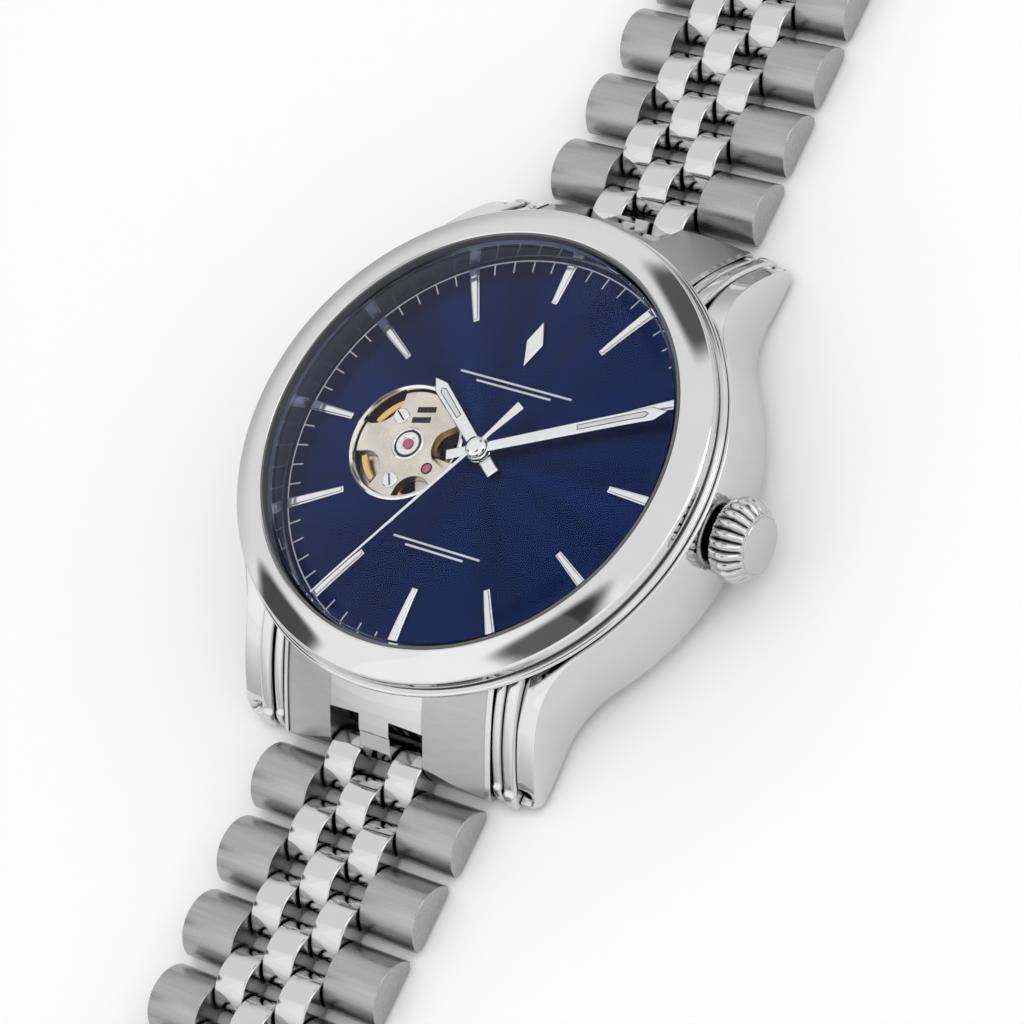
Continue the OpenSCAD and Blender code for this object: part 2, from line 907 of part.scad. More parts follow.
module end_link() {
    side_x = lug_inner_x - 0.12;
    difference() {
        union() {
            intersection() {
                end_link_slope(0);
                along_x(-side_x, side_x)
                    end_link_side();
            }
            // raised frame along the side plates' outer edges
            for (s = [-1, 1])
                intersection() {
                    end_link_slope(0.14);
                    translate([s * (side_x - 0.22), 0, 0])
                        along_x(-0.22, 0.22)
                            end_link_side();
                }
        }
        // notches that take the first intermediate links
        for (s = [-1, 1])
            translate([s > 0 ? inner_x0 - gap : -outer_x0, 0, -1]) {
                translate([0, first_pin_y - 1.95, 0])
                    cube([outer_x0 - inner_x0 + gap, 6, 3.4]);
                translate([0, first_pin_y - 1.05, 0])
                    cube([outer_x0 - inner_x0 + gap, 6, 12]);
            }
        translate([0, first_pin_y, pin_z])
            rod_x(-15, 15, pin_r + run);
    }
}

module end_link_12() {
    color("silver")
        end_link();
}

module end_link_6() {
    color("silver")
        mirror([0, 1, 0])
            end_link();
}

module spring_bars() {
    color("gray")
        for (m = [0, 1])
            mirror([0, m, 0])
                translate([0, first_pin_y, pin_z]) {
                    rod_x(-lug_inner_x + 0.15, lug_inner_x - 0.15, pin_r);
                    rod_x(-lug_inner_x - 1.2, lug_inner_x + 1.2, 0.3);
                }
}

// ---------- folding clasp, carried by the 12 o'clock half ----------

hinge_out_y = clasp_y0 + clasp_len - 2.2;
hinge_in_y = clasp_y0 + 4.2;
blade_w = clasp_w - 5.6;

module clasp_cover() {
    half = clasp_w / 2;
    color("silver")
        difference() {
            union() {
                difference() {
                    along_x(-half, half)
                        translate([clasp_y0 + 2.0, 0])
                            polygon(concat([[0, 0.3], [0, 2.2]],
                                [for (i = [0 : 8]) let (t = i / 8)
                                    [0.6 + (clasp_len - 3.2) * t, 3.0 + (clasp_h - 3.0) * sin(30 + 120 * t)]],
                                [[clasp_len - 2, 2.2], [clasp_len - 2, 0.3],
                                 [clasp_len - 2.3, 0], [0.3, 0]]));
                    // hollow under the cover
                    translate([-half + 1.1, clasp_y0, -1])
                        cube([clasp_w - 2.2, clasp_len + 4, 4.0]);
                }
                // knuckles on the last link pin
                for (s = [-1, 1])
                    translate([s * (inner_x0 + inner_x1) / 2, 0, 0])
                        along_x(-(inner_x1 - inner_x0) / 2, (inner_x1 - inner_x0) / 2)
                            union() {
                                translate([clasp_y0, pin_z])
                                    circle(r = 1.3);
                                translate([clasp_y0, 0.6])
                                    square([3.2, 2.0]);
                            }
                translate([-half + 0.6, clasp_y0 + 2.2, 1.3])
                    cube([clasp_w - 1.2, 0.9, 1.8]);
                translate([0, hinge_out_y, 1.7])
                    rod_x(-half + 0.6, half - 0.6, 0.45);
            }
            translate([0, clasp_y0, pin_z])
                rod_x(-6, 6, pin_r + run);
            // pusher windows
            translate([0, clasp_y0 + clasp_len / 2, 1.6])
                cube([clasp_w + 2, 3.3, 1.5], center = true);
        }
}

module clasp_blade_outer() {
    color("silver")
        difference() {
            union() {
                translate([-blade_w / 2, hinge_in_y, 1.35])
                    cube([blade_w, hinge_out_y - hinge_in_y, 0.7]);
                translate([0, hinge_out_y, 1.7])
                    rod_x(-blade_w / 2, blade_w / 2, 0.82);
                for (s = [-1, 1])
                    translate([s * (blade_w / 2 - 0.75), hinge_in_y, 0.95])
                        rod_x(-0.75, 0.75, 0.75);
                translate([0, hinge_in_y, 0.95])
                    rod_x(-blade_w / 2 + 0.5, blade_w / 2 - 0.5, 0.3);
            }
            translate([0, hinge_out_y, 1.7])
                rod_x(-20, 20, 0.45 + run);
            translate([-blade_w / 2 + 1.5, hinge_in_y - 1, 0])
                cube([blade_w - 3, 2.2, 3]);
        }
    color("silver")
        translate([0, hinge_in_y, 0.95])
            rod_x(-blade_w / 2 + 1.2, blade_w / 2 - 1.2, 0.3);
}

module clasp_blade_inner() {
    inner_w = blade_w - 3.3;
    end_y = hinge_out_y + 1.6;
    color("silver")
        difference() {
            union() {
                translate([-inner_w / 2, hinge_in_y, 0.2])
                    cube([inner_w, end_y - hinge_in_y, 0.55]);
                translate([0, hinge_in_y, 0.95])
                    rod_x(-inner_w / 2, inner_w / 2, 0.75);
                // tube for the pin of the 6 o'clock half
                translate([0, end_y + 0.7, pin_z])
                    rod_x(-4.4, -1.6, 1.15);
                translate([0, end_y + 0.7, pin_z])
                    rod_x(1.6, 4.4, 1.15);
                for (s = [-1, 1])
                    translate([s * 3 - 1.4, end_y - 1.2, 0.2])
                        cube([2.8, 1.9, 0.55]);
            }
            translate([0, hinge_in_y, 0.95])
                rod_x(-20, 20, 0.3 + run);
            translate([0, end_y + 0.7, pin_z])
                rod_x(-20, 20, pin_r + run);
        }
}

module clasp_pusher() {
    half = clasp_w / 2;
    translate([0, clasp_y0 + clasp_len / 2, 1.6]) {
        translate([half - 1.4, -1.5, -0.6])
            cube([2.0, 3.0, 1.2]);
        translate([half - 1.95, -2.1, -0.6])
            cube([0.7, 4.2, 1.2]);
    }
}

module clasp_pusher_right() {
    color("gray")
        clasp_pusher();
}

module clasp_pusher_left() {
    color("gray")
        mirror([1, 0, 0])
            clasp_pusher();
}

case_middle();
bezel();
crystal();
rehaut_ring();
case_back();
case_back_glass();
crown();
winding_stem();
winding_pinion();
dial();
minute_track();
aperture_ring();
hour_markers();
hour_hand();
minute_hand();
seconds_hand();
movement_ring();
main_plate();
train_bridge();
balance_bridge();
balance_wheel();
hairspring();
pallet_fork();
escape_wheel();
fourth_wheel();
third_wheel();
center_wheel();
barrel();
hour_wheel();
minute_wheel();
rotor();
rotor_bearing();
jewels();
movement_screws();
end_link_12();
end_link_6();
spring_bars();
link_12(1);  // link_12_1
link_12(2);  // link_12_2
link_12(3);  // link_12_3
link_12(4);  // link_12_4
link_12(5);  // link_12_5
link_12(6);  // link_12_6
link_12(7);  // link_12_7
link_12(8);  // link_12_8
link_6(1);  // link_6_1
link_6(2);  // link_6_2
link_6(3);  // link_6_3
link_6(4);  // link_6_4
link_6(5);  // link_6_5
link_6(6);  // link_6_6
link_6(7);  // link_6_7
link_6(8);  // link_6_8
clasp_cover();
clasp_blade_outer();
clasp_blade_inner();
clasp_pusher_right();
clasp_pusher_left();
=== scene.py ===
"""Open-heart automatic wristwatch: materials, fine meshes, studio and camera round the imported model."""

import json
import math
import random

import bmesh
import bpy
from mathutils import Matrix, Vector

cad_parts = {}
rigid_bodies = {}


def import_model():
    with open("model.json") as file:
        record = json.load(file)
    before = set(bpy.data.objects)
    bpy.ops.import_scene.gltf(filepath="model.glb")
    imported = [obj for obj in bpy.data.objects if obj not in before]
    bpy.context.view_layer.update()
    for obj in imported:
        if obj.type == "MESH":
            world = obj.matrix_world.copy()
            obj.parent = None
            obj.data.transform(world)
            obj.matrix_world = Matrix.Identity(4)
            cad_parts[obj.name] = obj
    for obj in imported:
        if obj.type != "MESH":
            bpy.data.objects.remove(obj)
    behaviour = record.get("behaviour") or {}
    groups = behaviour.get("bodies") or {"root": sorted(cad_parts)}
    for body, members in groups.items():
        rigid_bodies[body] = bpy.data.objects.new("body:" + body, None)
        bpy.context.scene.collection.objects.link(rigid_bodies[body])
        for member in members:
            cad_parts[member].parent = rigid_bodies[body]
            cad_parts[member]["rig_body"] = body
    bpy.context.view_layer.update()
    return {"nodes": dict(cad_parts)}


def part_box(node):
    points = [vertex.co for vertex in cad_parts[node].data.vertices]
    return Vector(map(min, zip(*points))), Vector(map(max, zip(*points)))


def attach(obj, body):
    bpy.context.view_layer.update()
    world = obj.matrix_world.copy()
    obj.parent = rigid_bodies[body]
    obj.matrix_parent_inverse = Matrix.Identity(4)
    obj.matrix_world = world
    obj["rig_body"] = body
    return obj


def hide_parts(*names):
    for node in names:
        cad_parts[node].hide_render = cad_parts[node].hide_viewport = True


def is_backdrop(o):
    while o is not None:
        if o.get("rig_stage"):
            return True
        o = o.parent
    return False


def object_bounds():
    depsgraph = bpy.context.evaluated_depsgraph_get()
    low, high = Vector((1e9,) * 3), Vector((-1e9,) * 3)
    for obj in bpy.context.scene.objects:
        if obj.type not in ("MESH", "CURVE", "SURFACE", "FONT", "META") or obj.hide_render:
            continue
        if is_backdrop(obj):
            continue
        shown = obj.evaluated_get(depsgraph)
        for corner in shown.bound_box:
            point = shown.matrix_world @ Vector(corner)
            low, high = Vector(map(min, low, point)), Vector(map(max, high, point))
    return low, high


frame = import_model()
random.seed(7)
MM = 0.001


# ---------------------------------------------------------------- node helpers

class Nodes:
    """Builds one material's node tree."""

    def __init__(self, name):
        self.mat = bpy.data.materials.new(name)
        self.mat.use_nodes = True
        self.tree = self.mat.node_tree
        self.tree.nodes.clear()
        self.out = self.add("ShaderNodeOutputMaterial")
        self.coord = self.add("ShaderNodeTexCoord").outputs["Object"]

    def add(self, kind, **settings):
        node = self.tree.nodes.new(kind)
        for key, value in settings.items():
            setattr(node, key, value)
        return node

    def link(self, a, b):
        self.tree.links.new(a, b)

    def set(self, socket, value):
        if isinstance(value, bpy.types.NodeSocket):
            self.link(value, socket)
        else:
            socket.default_value = value

    def mapped(self, scale, offset=(0, 0, 0), rotation=(0, 0, 0), source=None):
        node = self.add("ShaderNodeMapping")
        self.link(source or self.coord, node.inputs["Vector"])
        node.inputs["Scale"].default_value = scale
        node.inputs["Location"].default_value = offset
        node.inputs["Rotation"].default_value = rotation
        return node.outputs["Vector"]

    def noise(self, vector, scale=1.0, detail=3.0, rough=0.5, distortion=0.0):
        node = self.add("ShaderNodeTexNoise")
        self.link(vector, node.inputs["Vector"])
        node.inputs["Scale"].default_value = scale
        node.inputs["Detail"].default_value = detail
        node.inputs["Roughness"].default_value = rough
        node.inputs["Distortion"].default_value = distortion
        return node.outputs["Fac"]

    def remap(self, value, a, b, lo=0.3, hi=0.7, smooth=False):
        node = self.add("ShaderNodeMapRange")
        node.interpolation_type = "SMOOTHSTEP" if smooth else "LINEAR"
        self.link(value, node.inputs["Value"])
        node.inputs["From Min"].default_value = lo
        node.inputs["From Max"].default_value = hi
        node.inputs["To Min"].default_value = a
        node.inputs["To Max"].default_value = b
        return node.outputs["Result"]

    def math(self, op, a, b=0.0, c=0.0):
        node = self.add("ShaderNodeMath", operation=op)
        for socket, value in zip(node.inputs, (a, b, c)):
            self.set(socket, value)
        return node.outputs[0]

    def mix(self, factor, a, b):
        node = self.add("ShaderNodeMix", data_type="RGBA")
        self.set(node.inputs["Factor"], factor)
        self.set(node.inputs[6], a)
        self.set(node.inputs[7], b)
        return node.outputs[2]

    def lerp(self, factor, a, b):
        node = self.add("ShaderNodeMix", data_type="FLOAT")
        self.set(node.inputs["Factor"], factor)
        self.set(node.inputs[2], a)
        self.set(node.inputs[3], b)
        return node.outputs[0]

    def xyz(self, source=None):
        node = self.add("ShaderNodeSeparateXYZ")
        self.link(source or self.coord, node.inputs[0])
        return node.outputs

    def bump(self, height, distance, strength=1.0, normal=None):
        node = self.add("ShaderNodeBump")
        node.inputs["Strength"].default_value = strength
        node.inputs["Distance"].default_value = distance
        self.link(height, node.inputs["Height"])
        if normal:
            self.link(normal, node.inputs["Normal"])
        return node.outputs["Normal"]

    def edge(self, radius):
        """Normal that is rounded over sharp edges; radius in mm."""
        node = self.add("ShaderNodeBevel", samples=4)
        node.inputs["Radius"].default_value = radius * MM
        return node.outputs["Normal"]

    def principled(self, **sockets):
        node = self.add("ShaderNodeBsdfPrincipled")
        for key, value in sockets.items():
            self.set(node.inputs[key.replace("_", " ")], value)
        self.link(node.outputs[0], self.out.inputs["Surface"])
        return node


def painted_gap_shade(n, color, distance, floor=0.22):
    """Painted shade: darkens a colour in gaps and grooves narrower than distance (mm), from an ambient
    occlusion node.
    """
    node = n.add("ShaderNodeAmbientOcclusion", samples=8)
    node.inputs["Distance"].default_value = distance * MM
    unshaded = n.remap(node.outputs["AO"], floor, 1.0, 0.25, 0.85)
    return n.mix(unshaded, grey(0.0), color)


def grey(v, warm=0.0):
    return (v * (1 + warm), v, v * (1 - warm), 1)


def polished(name, base=0.80, rough=0.05, warm=0.0, tint=None, edge=0.0, shade_reach=0.8):
    """Mirror-polished metal: faint cloudy haze, hairline scratches, a very slight unevenness and painted
    shade in gaps.
    """
    n = Nodes(name)
    soft_edge = n.edge(edge) if edge else None
    haze = n.noise(n.mapped((300, 300, 300)), detail=4)
    hair = n.noise(n.mapped((9000, 700, 2500), rotation=(0.3, 0.2, 0.7)), detail=2)
    wave = n.noise(n.mapped((160, 160, 160), offset=(3, 1, 2)), detail=1)
    c0 = tint or grey(base, warm)
    c1 = tuple(v * 0.93 for v in c0[:3]) + (1,)
    rough_v = n.math("ADD", n.remap(haze, rough * 0.7, rough * 1.5), n.remap(hair, 0, 0.035, 0.62, 0.8))
    normal = n.bump(wave, 0.000012, 0.5, soft_edge)
    # painted shade: the colour darkens in nearby gaps and grooves
    color = painted_gap_shade(n, n.mix(haze, c1, c0), shade_reach)
    n.principled(Base_Color=color, Metallic=1.0, Roughness=rough_v, Normal=normal)
    return n.mat


def brushed(name, base=0.62, rough=0.30, axis="X", warm=0.0, tint=None):
    """Brushed metal with long streaks along one axis and painted shade in gaps."""
    n = Nodes(name)
    fine = {"X": (260, 14000, 14000), "Y": (14000, 260, 14000), "Z": (14000, 14000, 260)}[axis]
    wide = {"X": (90, 2600, 2600), "Y": (2600, 90, 2600), "Z": (2600, 2600, 90)}[axis]
    streak = n.noise(n.mapped(fine), detail=3, rough=0.6)
    band = n.noise(n.mapped(wide, offset=(5, 2, 1)), detail=2)
    cloud = n.noise(n.mapped((220, 220, 220)), detail=2)
    c0 = tint or grey(base, warm)
    dark = tuple(v * 0.90 for v in c0[:3]) + (1,)
    lite = tuple(min(1.0, v * 1.07) for v in c0[:3]) + (1,)
    both = n.math("ADD", n.math("MULTIPLY", streak, 0.6), n.math("MULTIPLY", band, 0.4))
    # painted shade: the colour darkens in gaps and grooves within 0.6 mm
    color = painted_gap_shade(n, n.mix(n.remap(both, 0, 1, 0.36, 0.64), dark, lite), 0.6)
    rough_v = n.math("ADD", n.remap(streak, rough * 0.8, rough * 1.25), n.remap(cloud, -0.02, 0.03))
    normal = n.bump(streak, 0.000003, 0.5)
    n.principled(Base_Color=color, Metallic=1.0, Roughness=rough_v, Normal=normal)
    return n.mat


# ---------------------------------------------------------------- bracelet sizes (mm)

LINK_LEN, LINK_H, PITCH, PIN_Z = 5.77, 2.8, 3.225, 1.35
CENTRE_X, INNER_X0, INNER_X1, OUTER_X0 = 1.45, 1.57, 4.43, 4.55
BORE_R, BORE_STEPS = 0.55, 28


# ---------------------------------------------------------------- materials

def end_link_steel():
    """Brushed side plates along X, polished centre band and polished rim strips, with painted shade in gaps.
    """
    n = Nodes("end_link_steel")
    x = n.math("ABSOLUTE", n.xyz()["X"])
    centre = n.remap(x, 1, 0, (INNER_X1 - 0.03) * MM, (INNER_X1 + 0.03) * MM)
    rim = n.remap(x, 0, 1, 9.70 * MM, 9.76 * MM)
    shine = n.math("MAXIMUM", centre, rim)
    streak = n.noise(n.mapped((260, 14000, 14000)), detail=3, rough=0.6)
    band = n.noise(n.mapped((90, 1800, 1800), offset=(5, 2, 1)), detail=2)
    both = n.math("ADD", n.math("MULTIPLY", streak, 0.55), n.math("MULTIPLY", band, 0.45))
    dull = n.mix(n.remap(both, 0, 1, 0.36, 0.64), grey(0.43), grey(0.47))
    # painted shade: the colour darkens in gaps and grooves within 0.8 mm
    color = painted_gap_shade(n, n.mix(shine, dull, grey(0.64)), 0.8)
    rough = n.lerp(shine, n.remap(streak, 0.30, 0.34), n.remap(band, 0.04, 0.07))
    normal = n.edge(0.06)
    n.principled(Base_Color=color, Metallic=1.0, Roughness=rough, Normal=normal)
    return n.mat


def crystal_glass():
    """Clear crystal with a trace of fine dust marks in its gloss."""
    n = Nodes("crystal_glass")
    dust = n.noise(n.mapped((900, 900, 900)), detail=4)
    n.principled(Base_Color=(0.985, 0.992, 1.0, 1), Roughness=n.remap(dust, 0.0, 0.012, 0.55, 0.8),
                 IOR=1.45, Transmission_Weight=1.0, Specular_Tint=(0.12, 0.13, 0.2, 1))
    return n.mat


def dial_blue():
    """Deep blue sunray lacquer: radial rays round the dial's centre under a clear coat. The fine rays are
    the dial's grain; the broad lighter and darker sectors round the centre are a painted sunray sheen.
    """
    n = Nodes("dial_blue")
    turn = n.add("ShaderNodeTexGradient", gradient_type="RADIAL")
    n.link(n.coord, turn.inputs["Vector"])
    angle = turn.outputs["Fac"]
    rays = n.add("ShaderNodeTexNoise", noise_dimensions="1D")
    n.link(n.math("MULTIPLY", angle, 420.0), rays.inputs["W"])
    rays.inputs["Scale"].default_value = 1.0
    rays.inputs["Detail"].default_value = 4
    soft = n.add("ShaderNodeTexNoise", noise_dimensions="1D")
    n.link(n.math("MULTIPLY", angle, 16.0), soft.inputs["W"])
    soft.inputs["Scale"].default_value = 1.0
    soft.inputs["Detail"].default_value = 1
    grain = n.noise(n.mapped((16000, 16000, 16000)), detail=2)
    # colour: mostly the broad sectors, a painted sheen, with a little of the fine rays, which are grain
    both = n.math("ADD", n.math("MULTIPLY", rays.outputs["Fac"], 0.2),
                  n.math("MULTIPLY", soft.outputs["Fac"], 0.8))
    color = n.mix(n.remap(both, 0, 1, 0.3, 0.7), (0.0012, 0.0085, 0.048, 1), (0.0022, 0.0165, 0.090, 1))
    rough = n.math("ADD", n.remap(rays.outputs["Fac"], 0.30, 0.36), n.remap(grain, -0.02, 0.02))
    tangent = n.add("ShaderNodeTangent", direction_type="RADIAL", axis="Z")
    bsdf = n.principled(Base_Color=color, Metallic=0.92, Roughness=rough, Anisotropic=0.6,
                        Specular_IOR_Level=0.1, Coat_Weight=0.015, Coat_Roughness=0.04,
                        Normal=n.bump(rays.outputs["Fac"], 0.000004, 0.3))
    n.link(tangent.outputs[0], bsdf.inputs["Tangent"])
    return n.mat


def satin(name, color, rough=0.35, metallic=1.0, grain=6000, vary=0.12, bump=0.000008):
    """Fine-grained satin or matt finish with slight colour variation."""
    n = Nodes(name)
    fine = n.noise(n.mapped((grain,) * 3), detail=3)
    cloud = n.noise(n.mapped((420, 420, 420)), detail=2)
    dark = tuple(v * (1 - vary) for v in color) + (1,)
    lite = tuple(min(1.0, v * (1 + vary)) for v in color) + (1,)
    n.principled(Base_Color=n.mix(n.remap(cloud, 0, 1), dark, lite), Metallic=metallic,
                 Roughness=n.remap(fine, rough * 0.8, rough * 1.2), Normal=n.bump(fine, bump, 0.5))
    return n.mat


def circular_grain(name, color, rough=0.3, rings=5200, vary=0.15):
    """Turned finish: fine rings about the Z axis."""
    n = Nodes(name)
    p = n.xyz()
    r = n.math("SQRT", n.math("ADD", n.math("POWER", p["X"], 2.0), n.math("POWER", p["Y"], 2.0)))
    ring = n.add("ShaderNodeTexNoise", noise_dimensions="1D")
    n.link(n.math("MULTIPLY", r, float(rings)), ring.inputs["W"])
    ring.inputs["Detail"].default_value = 3
    cloud = n.noise(n.mapped((300, 300, 300)), detail=2)
    dark = tuple(v * (1 - vary) for v in color) + (1,)
    lite = tuple(min(1.0, v * (1 + vary)) for v in color) + (1,)
    n.principled(Base_Color=n.mix(n.remap(ring.outputs["Fac"], 0, 1), dark, lite), Metallic=1.0,
                 Roughness=n.math("ADD", n.remap(cloud, rough * 0.85, rough * 1.15),
                                  n.remap(ring.outputs["Fac"], -0.04, 0.04)),
                 Normal=n.bump(ring.outputs["Fac"], 0.000005, 0.5))
    return n.mat


def striped(name, color, rough=0.3, pitch=1.3 * MM):
    """Broad parallel stripes of alternating grain, as on a finished rotor or bridge."""
    n = Nodes(name)
    p = n.xyz()
    phase = n.math("FRACT", n.math("MULTIPLY", p["X"], 1.0 / pitch))
    fine = n.noise(n.mapped((14000, 500, 500), rotation=(0, 0, 0.35)), detail=3)
    dark = tuple(v * 0.78 for v in color) + (1,)
    lite = tuple(min(1.0, v * 1.1) for v in color) + (1,)
    n.principled(Base_Color=n.mix(n.math("MULTIPLY", phase, n.remap(fine, 0.6, 1.1)), dark, lite),
                 Metallic=1.0,
                 Roughness=n.math("ADD", n.remap(fine, rough * 0.8, rough * 1.2),
                                  n.math("MULTIPLY", phase, 0.12)),
                 Normal=n.bump(phase, 0.00001, 0.4))
    return n.mat


def ruby_glass():
    n = Nodes("ruby_glass")
    cloud = n.noise(n.mapped((1500, 1500, 1500)), detail=2)
    n.principled(Base_Color=n.mix(cloud, (0.50, 0.03, 0.13, 1), (0.80, 0.12, 0.28, 1)), Metallic=0.0,
                 Roughness=n.remap(cloud, 0.05, 0.14), Coat_Weight=0.6, Coat_Roughness=0.03)
    return n.mat


M = {
    "polished": polished("steel_polished", 0.68, 0.05),
    # crown steel set darker than the case steel: a painted-shade copy of it, toned down against its bright
    # reflections
    "crown": polished("steel_crown_shade_dark", 0.58, 0.05, shade_reach=0.5),
    "link_shine": polished("steel_link_polished", 0.62, 0.05, shade_reach=1.1),
    "brushed": brushed("steel_brushed", 0.40, 0.28, "X"),
    "brushed_y": brushed("steel_brushed_long", 0.58, 0.30, "Y"),
    "end_link": end_link_steel(),
    "crystal": crystal_glass(),
    "dial": dial_blue(),
    "print": satin("white_lacquer", (0.82, 0.84, 0.86), 0.4, 0.0, 9000, 0.06),
    "rhodium": polished("rhodium", 0.78, 0.07, shade_reach=0.15),
    "lume": satin("lume", (0.93, 0.94, 0.95), 0.55, 0.0, 12000, 0.05),
    "rehaut": polished("rehaut_blue_grey", rough=0.10, tint=(0.07, 0.09, 0.15, 1), shade_reach=0.1),
    # stem steel much darker than the case steel: painted shade for the gaps the stem, spring bars and train
    # parts sit in
    "stem": polished("stem_steel", 0.36, 0.15),
    # link pins darker still: painted shade for the gaps between the links
    "pin": polished("link_pin_steel_shade_dark", 0.26, 0.12, shade_reach=1.4),
    # gasket grey, dark enough to stand as painted shade for the gap round the crystal
    "gasket": satin("gasket_shade_grey", (0.10, 0.10, 0.105), 0.45, 0.0, 5000, 0.10),
    "champagne": satin("champagne_nickel", (0.72, 0.66, 0.58), 0.32, 1.0, 5200, 0.10),
    "nickel": circular_grain("nickel_turned", (0.66, 0.65, 0.63), 0.3),
    "gilt": polished("gilt_brass", rough=0.16, tint=(0.80, 0.50, 0.16, 1)),
    "blued": polished("blued_steel", rough=0.12, tint=(0.05, 0.10, 0.32, 1)),
    "ruby": ruby_glass(),
    # near-black fill for slots, grooves and the rim round the lume: painted shade for those recesses
    "void": satin("painted_shade_fill", (0.02, 0.018, 0.016), 0.5, 0.3, 4000, 0.3),
    "striped": striped("rotor_striped", (0.62, 0.61, 0.59)),
    "back": circular_grain("case_back_turned", (0.60, 0.60, 0.60), 0.26, 4200),
}


# ---------------------------------------------------------------- mesh helpers

def smooth(me, angle=32):
    me.polygons.foreach_set("use_smooth", [True] * len(me.polygons))
    me.set_sharp_from_angle(angle=math.radians(angle))


def piece(name, bm, body, material, replaces=(), angle=32):
    """Makes a piece from a bmesh in metres that rides on a body."""
    bmesh.ops.remove_doubles(bm, verts=bm.verts, dist=1e-7)
    bmesh.ops.recalc_face_normals(bm, faces=bm.faces)
    me = bpy.data.meshes.new(name)
    bm.to_mesh(me)
    bm.free()
    ob = bpy.data.objects.new(name, me)
    bpy.context.scene.collection.objects.link(ob)
    for m in material if isinstance(material, (list, tuple)) else [material]:
        me.materials.append(M[m])
    smooth(me, angle)
    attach(ob, body)
    if replaces:
        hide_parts(*replaces)
    return ob


def bevel(ob, width, segments=2, angle=30):
    mod = ob.modifiers.new("edges", "BEVEL")
    mod.width = width * MM
    mod.segments = segments
    mod.limit_method = "ANGLE"
    mod.angle_limit = math.radians(angle)
    mod.harden_normals = True
    mod.miter_outer = "MITER_ARC"
    return ob


def lathe(bm, profile, steps=192, place=None, radius=None):
    """Revolves (r, z) points in mm about Z; radius(r, z, angle) may vary r. place is a 4x4 in mm."""
    place = place or Matrix.Identity(4)
    rings = []
    for r, z in profile:
        if r < 1e-6:
            rings.append([bm.verts.new(place @ Vector((0, 0, z)) * MM)])
            continue
        ring = []
        for k in range(steps):
            a = 2 * math.pi * k / steps
            rr = radius(r, z, a) if radius else r
            ring.append(bm.verts.new(place @ Vector((rr * math.cos(a), rr * math.sin(a), z)) * MM))
        rings.append(ring)
    closed = profile[0] == profile[-1]
    pairs = list(zip(rings, rings[1:]))
    for a, b in pairs:
        if len(a) == 1 and len(b) == 1:
            continue
        for k in range(steps):
            j = (k + 1) % steps
            if len(a) == 1:
                bm.faces.new((a[0], b[k], b[j]))
            elif len(b) == 1:
                bm.faces.new((a[k], a[j], b[0]))
            else:
                bm.faces.new((a[k], a[j], b[j], b[k]))
    return closed


def rounded(points, radius, steps=4):
    """Rounds the corners of an open or closed run of (a, b) points; radius may be a list."""
    out = [points[0]]
    for i in range(1, len(points) - 1):
        p, a, b = Vector(points[i]), Vector(points[i - 1]), Vector(points[i + 1])
        r = radius[i] if isinstance(radius, (list, tuple)) else radius
        u, v = (a - p), (b - p)
        if r <= 0 or u.length < 1e-6 or v.length < 1e-6:
            out.append(points[i])
            continue
        d = min(r, u.length * 0.45, v.length * 0.45)
        s, e = p + u.normalized() * d, p + v.normalized() * d
        for k in range(steps + 1):
            t = k / steps
            q = s * (1 - t) ** 2 + p * 2 * t * (1 - t) + e * t * t
            out.append((q.x, q.y))
    out.append(points[-1])
    return out


def refine(node, material, width=0.06, body=None, name=None, angle=30, segments=2, flat=1.0):
    """A cleaned copy of a CAD node: planar faces merged and every edge softened."""
    src = frame["nodes"][node]
    bm = bmesh.new()
    bm.from_mesh(src.data)
    bmesh.ops.remove_doubles(bm, verts=bm.verts, dist=2e-7)
    bmesh.ops.dissolve_limit(bm, angle_limit=math.radians(flat), verts=bm.verts, edges=bm.edges,
                             delimit={"NORMAL"})
    ob = piece(name or node + "_fine", bm, body or src["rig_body"], material, [node], angle)
    if width:
        bevel(ob, width, segments, angle)
    return ob


def keep(node, material):
    """Leaves a CAD node showing, with a material from the library."""
    ob = frame["nodes"][node]
    ob.data.materials.clear()
    ob.data.materials.append(M[material])
    return ob


# ---------------------------------------------------------------- bezel and crystal

bz_lo, bz_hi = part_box("bezel")
bezel_r = bz_hi.x / MM
bezel_z0 = bz_lo.z / MM

profile = [(18.2, bezel_z0), (bezel_r - 0.35, bezel_z0), (bezel_r - 0.3, bezel_z0 + 0.25),
           (bezel_r, bezel_z0 + 0.32), (bezel_r, bezel_z0 + 1.12)]
profile += [(bezel_r - 0.14 - (bezel_r - 18.3) * t, bezel_z0 + 1.26 + 0.72 * t
             + 0.07 * math.sin(math.pi * t)) for t in (k / 20 for k in range(21))]
profile += [(18.0, bezel_z0 + 1.9), (18.0, bezel_z0 + 0.6), (18.2, bezel_z0 + 0.5), (18.2, bezel_z0)]
bm = bmesh.new()
lathe(bm, rounded(profile, 0.07), 256)
piece("bezel_ring", bm, "case", "polished", ["bezel"])

# dark grey ring between the crystal and the bezel: partly a gasket, partly painted shade for the gap it
# fills
BEZEL_BORE = 18.0
bm = bmesh.new()
seal = [(BEZEL_BORE - 0.19, bezel_z0 + 0.62), (BEZEL_BORE + 0.01, bezel_z0 + 0.62),
        (BEZEL_BORE + 0.01, bezel_z0 + 1.92), (BEZEL_BORE - 0.19, bezel_z0 + 1.97)]
lathe(bm, seal + seal[:1], 256)
piece("crystal_gasket_shade_ring", bm, "case", "gasket")

cr_lo, cr_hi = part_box("crystal")
crystal_r = cr_hi.x / MM
crystal_top = cr_hi.z / MM


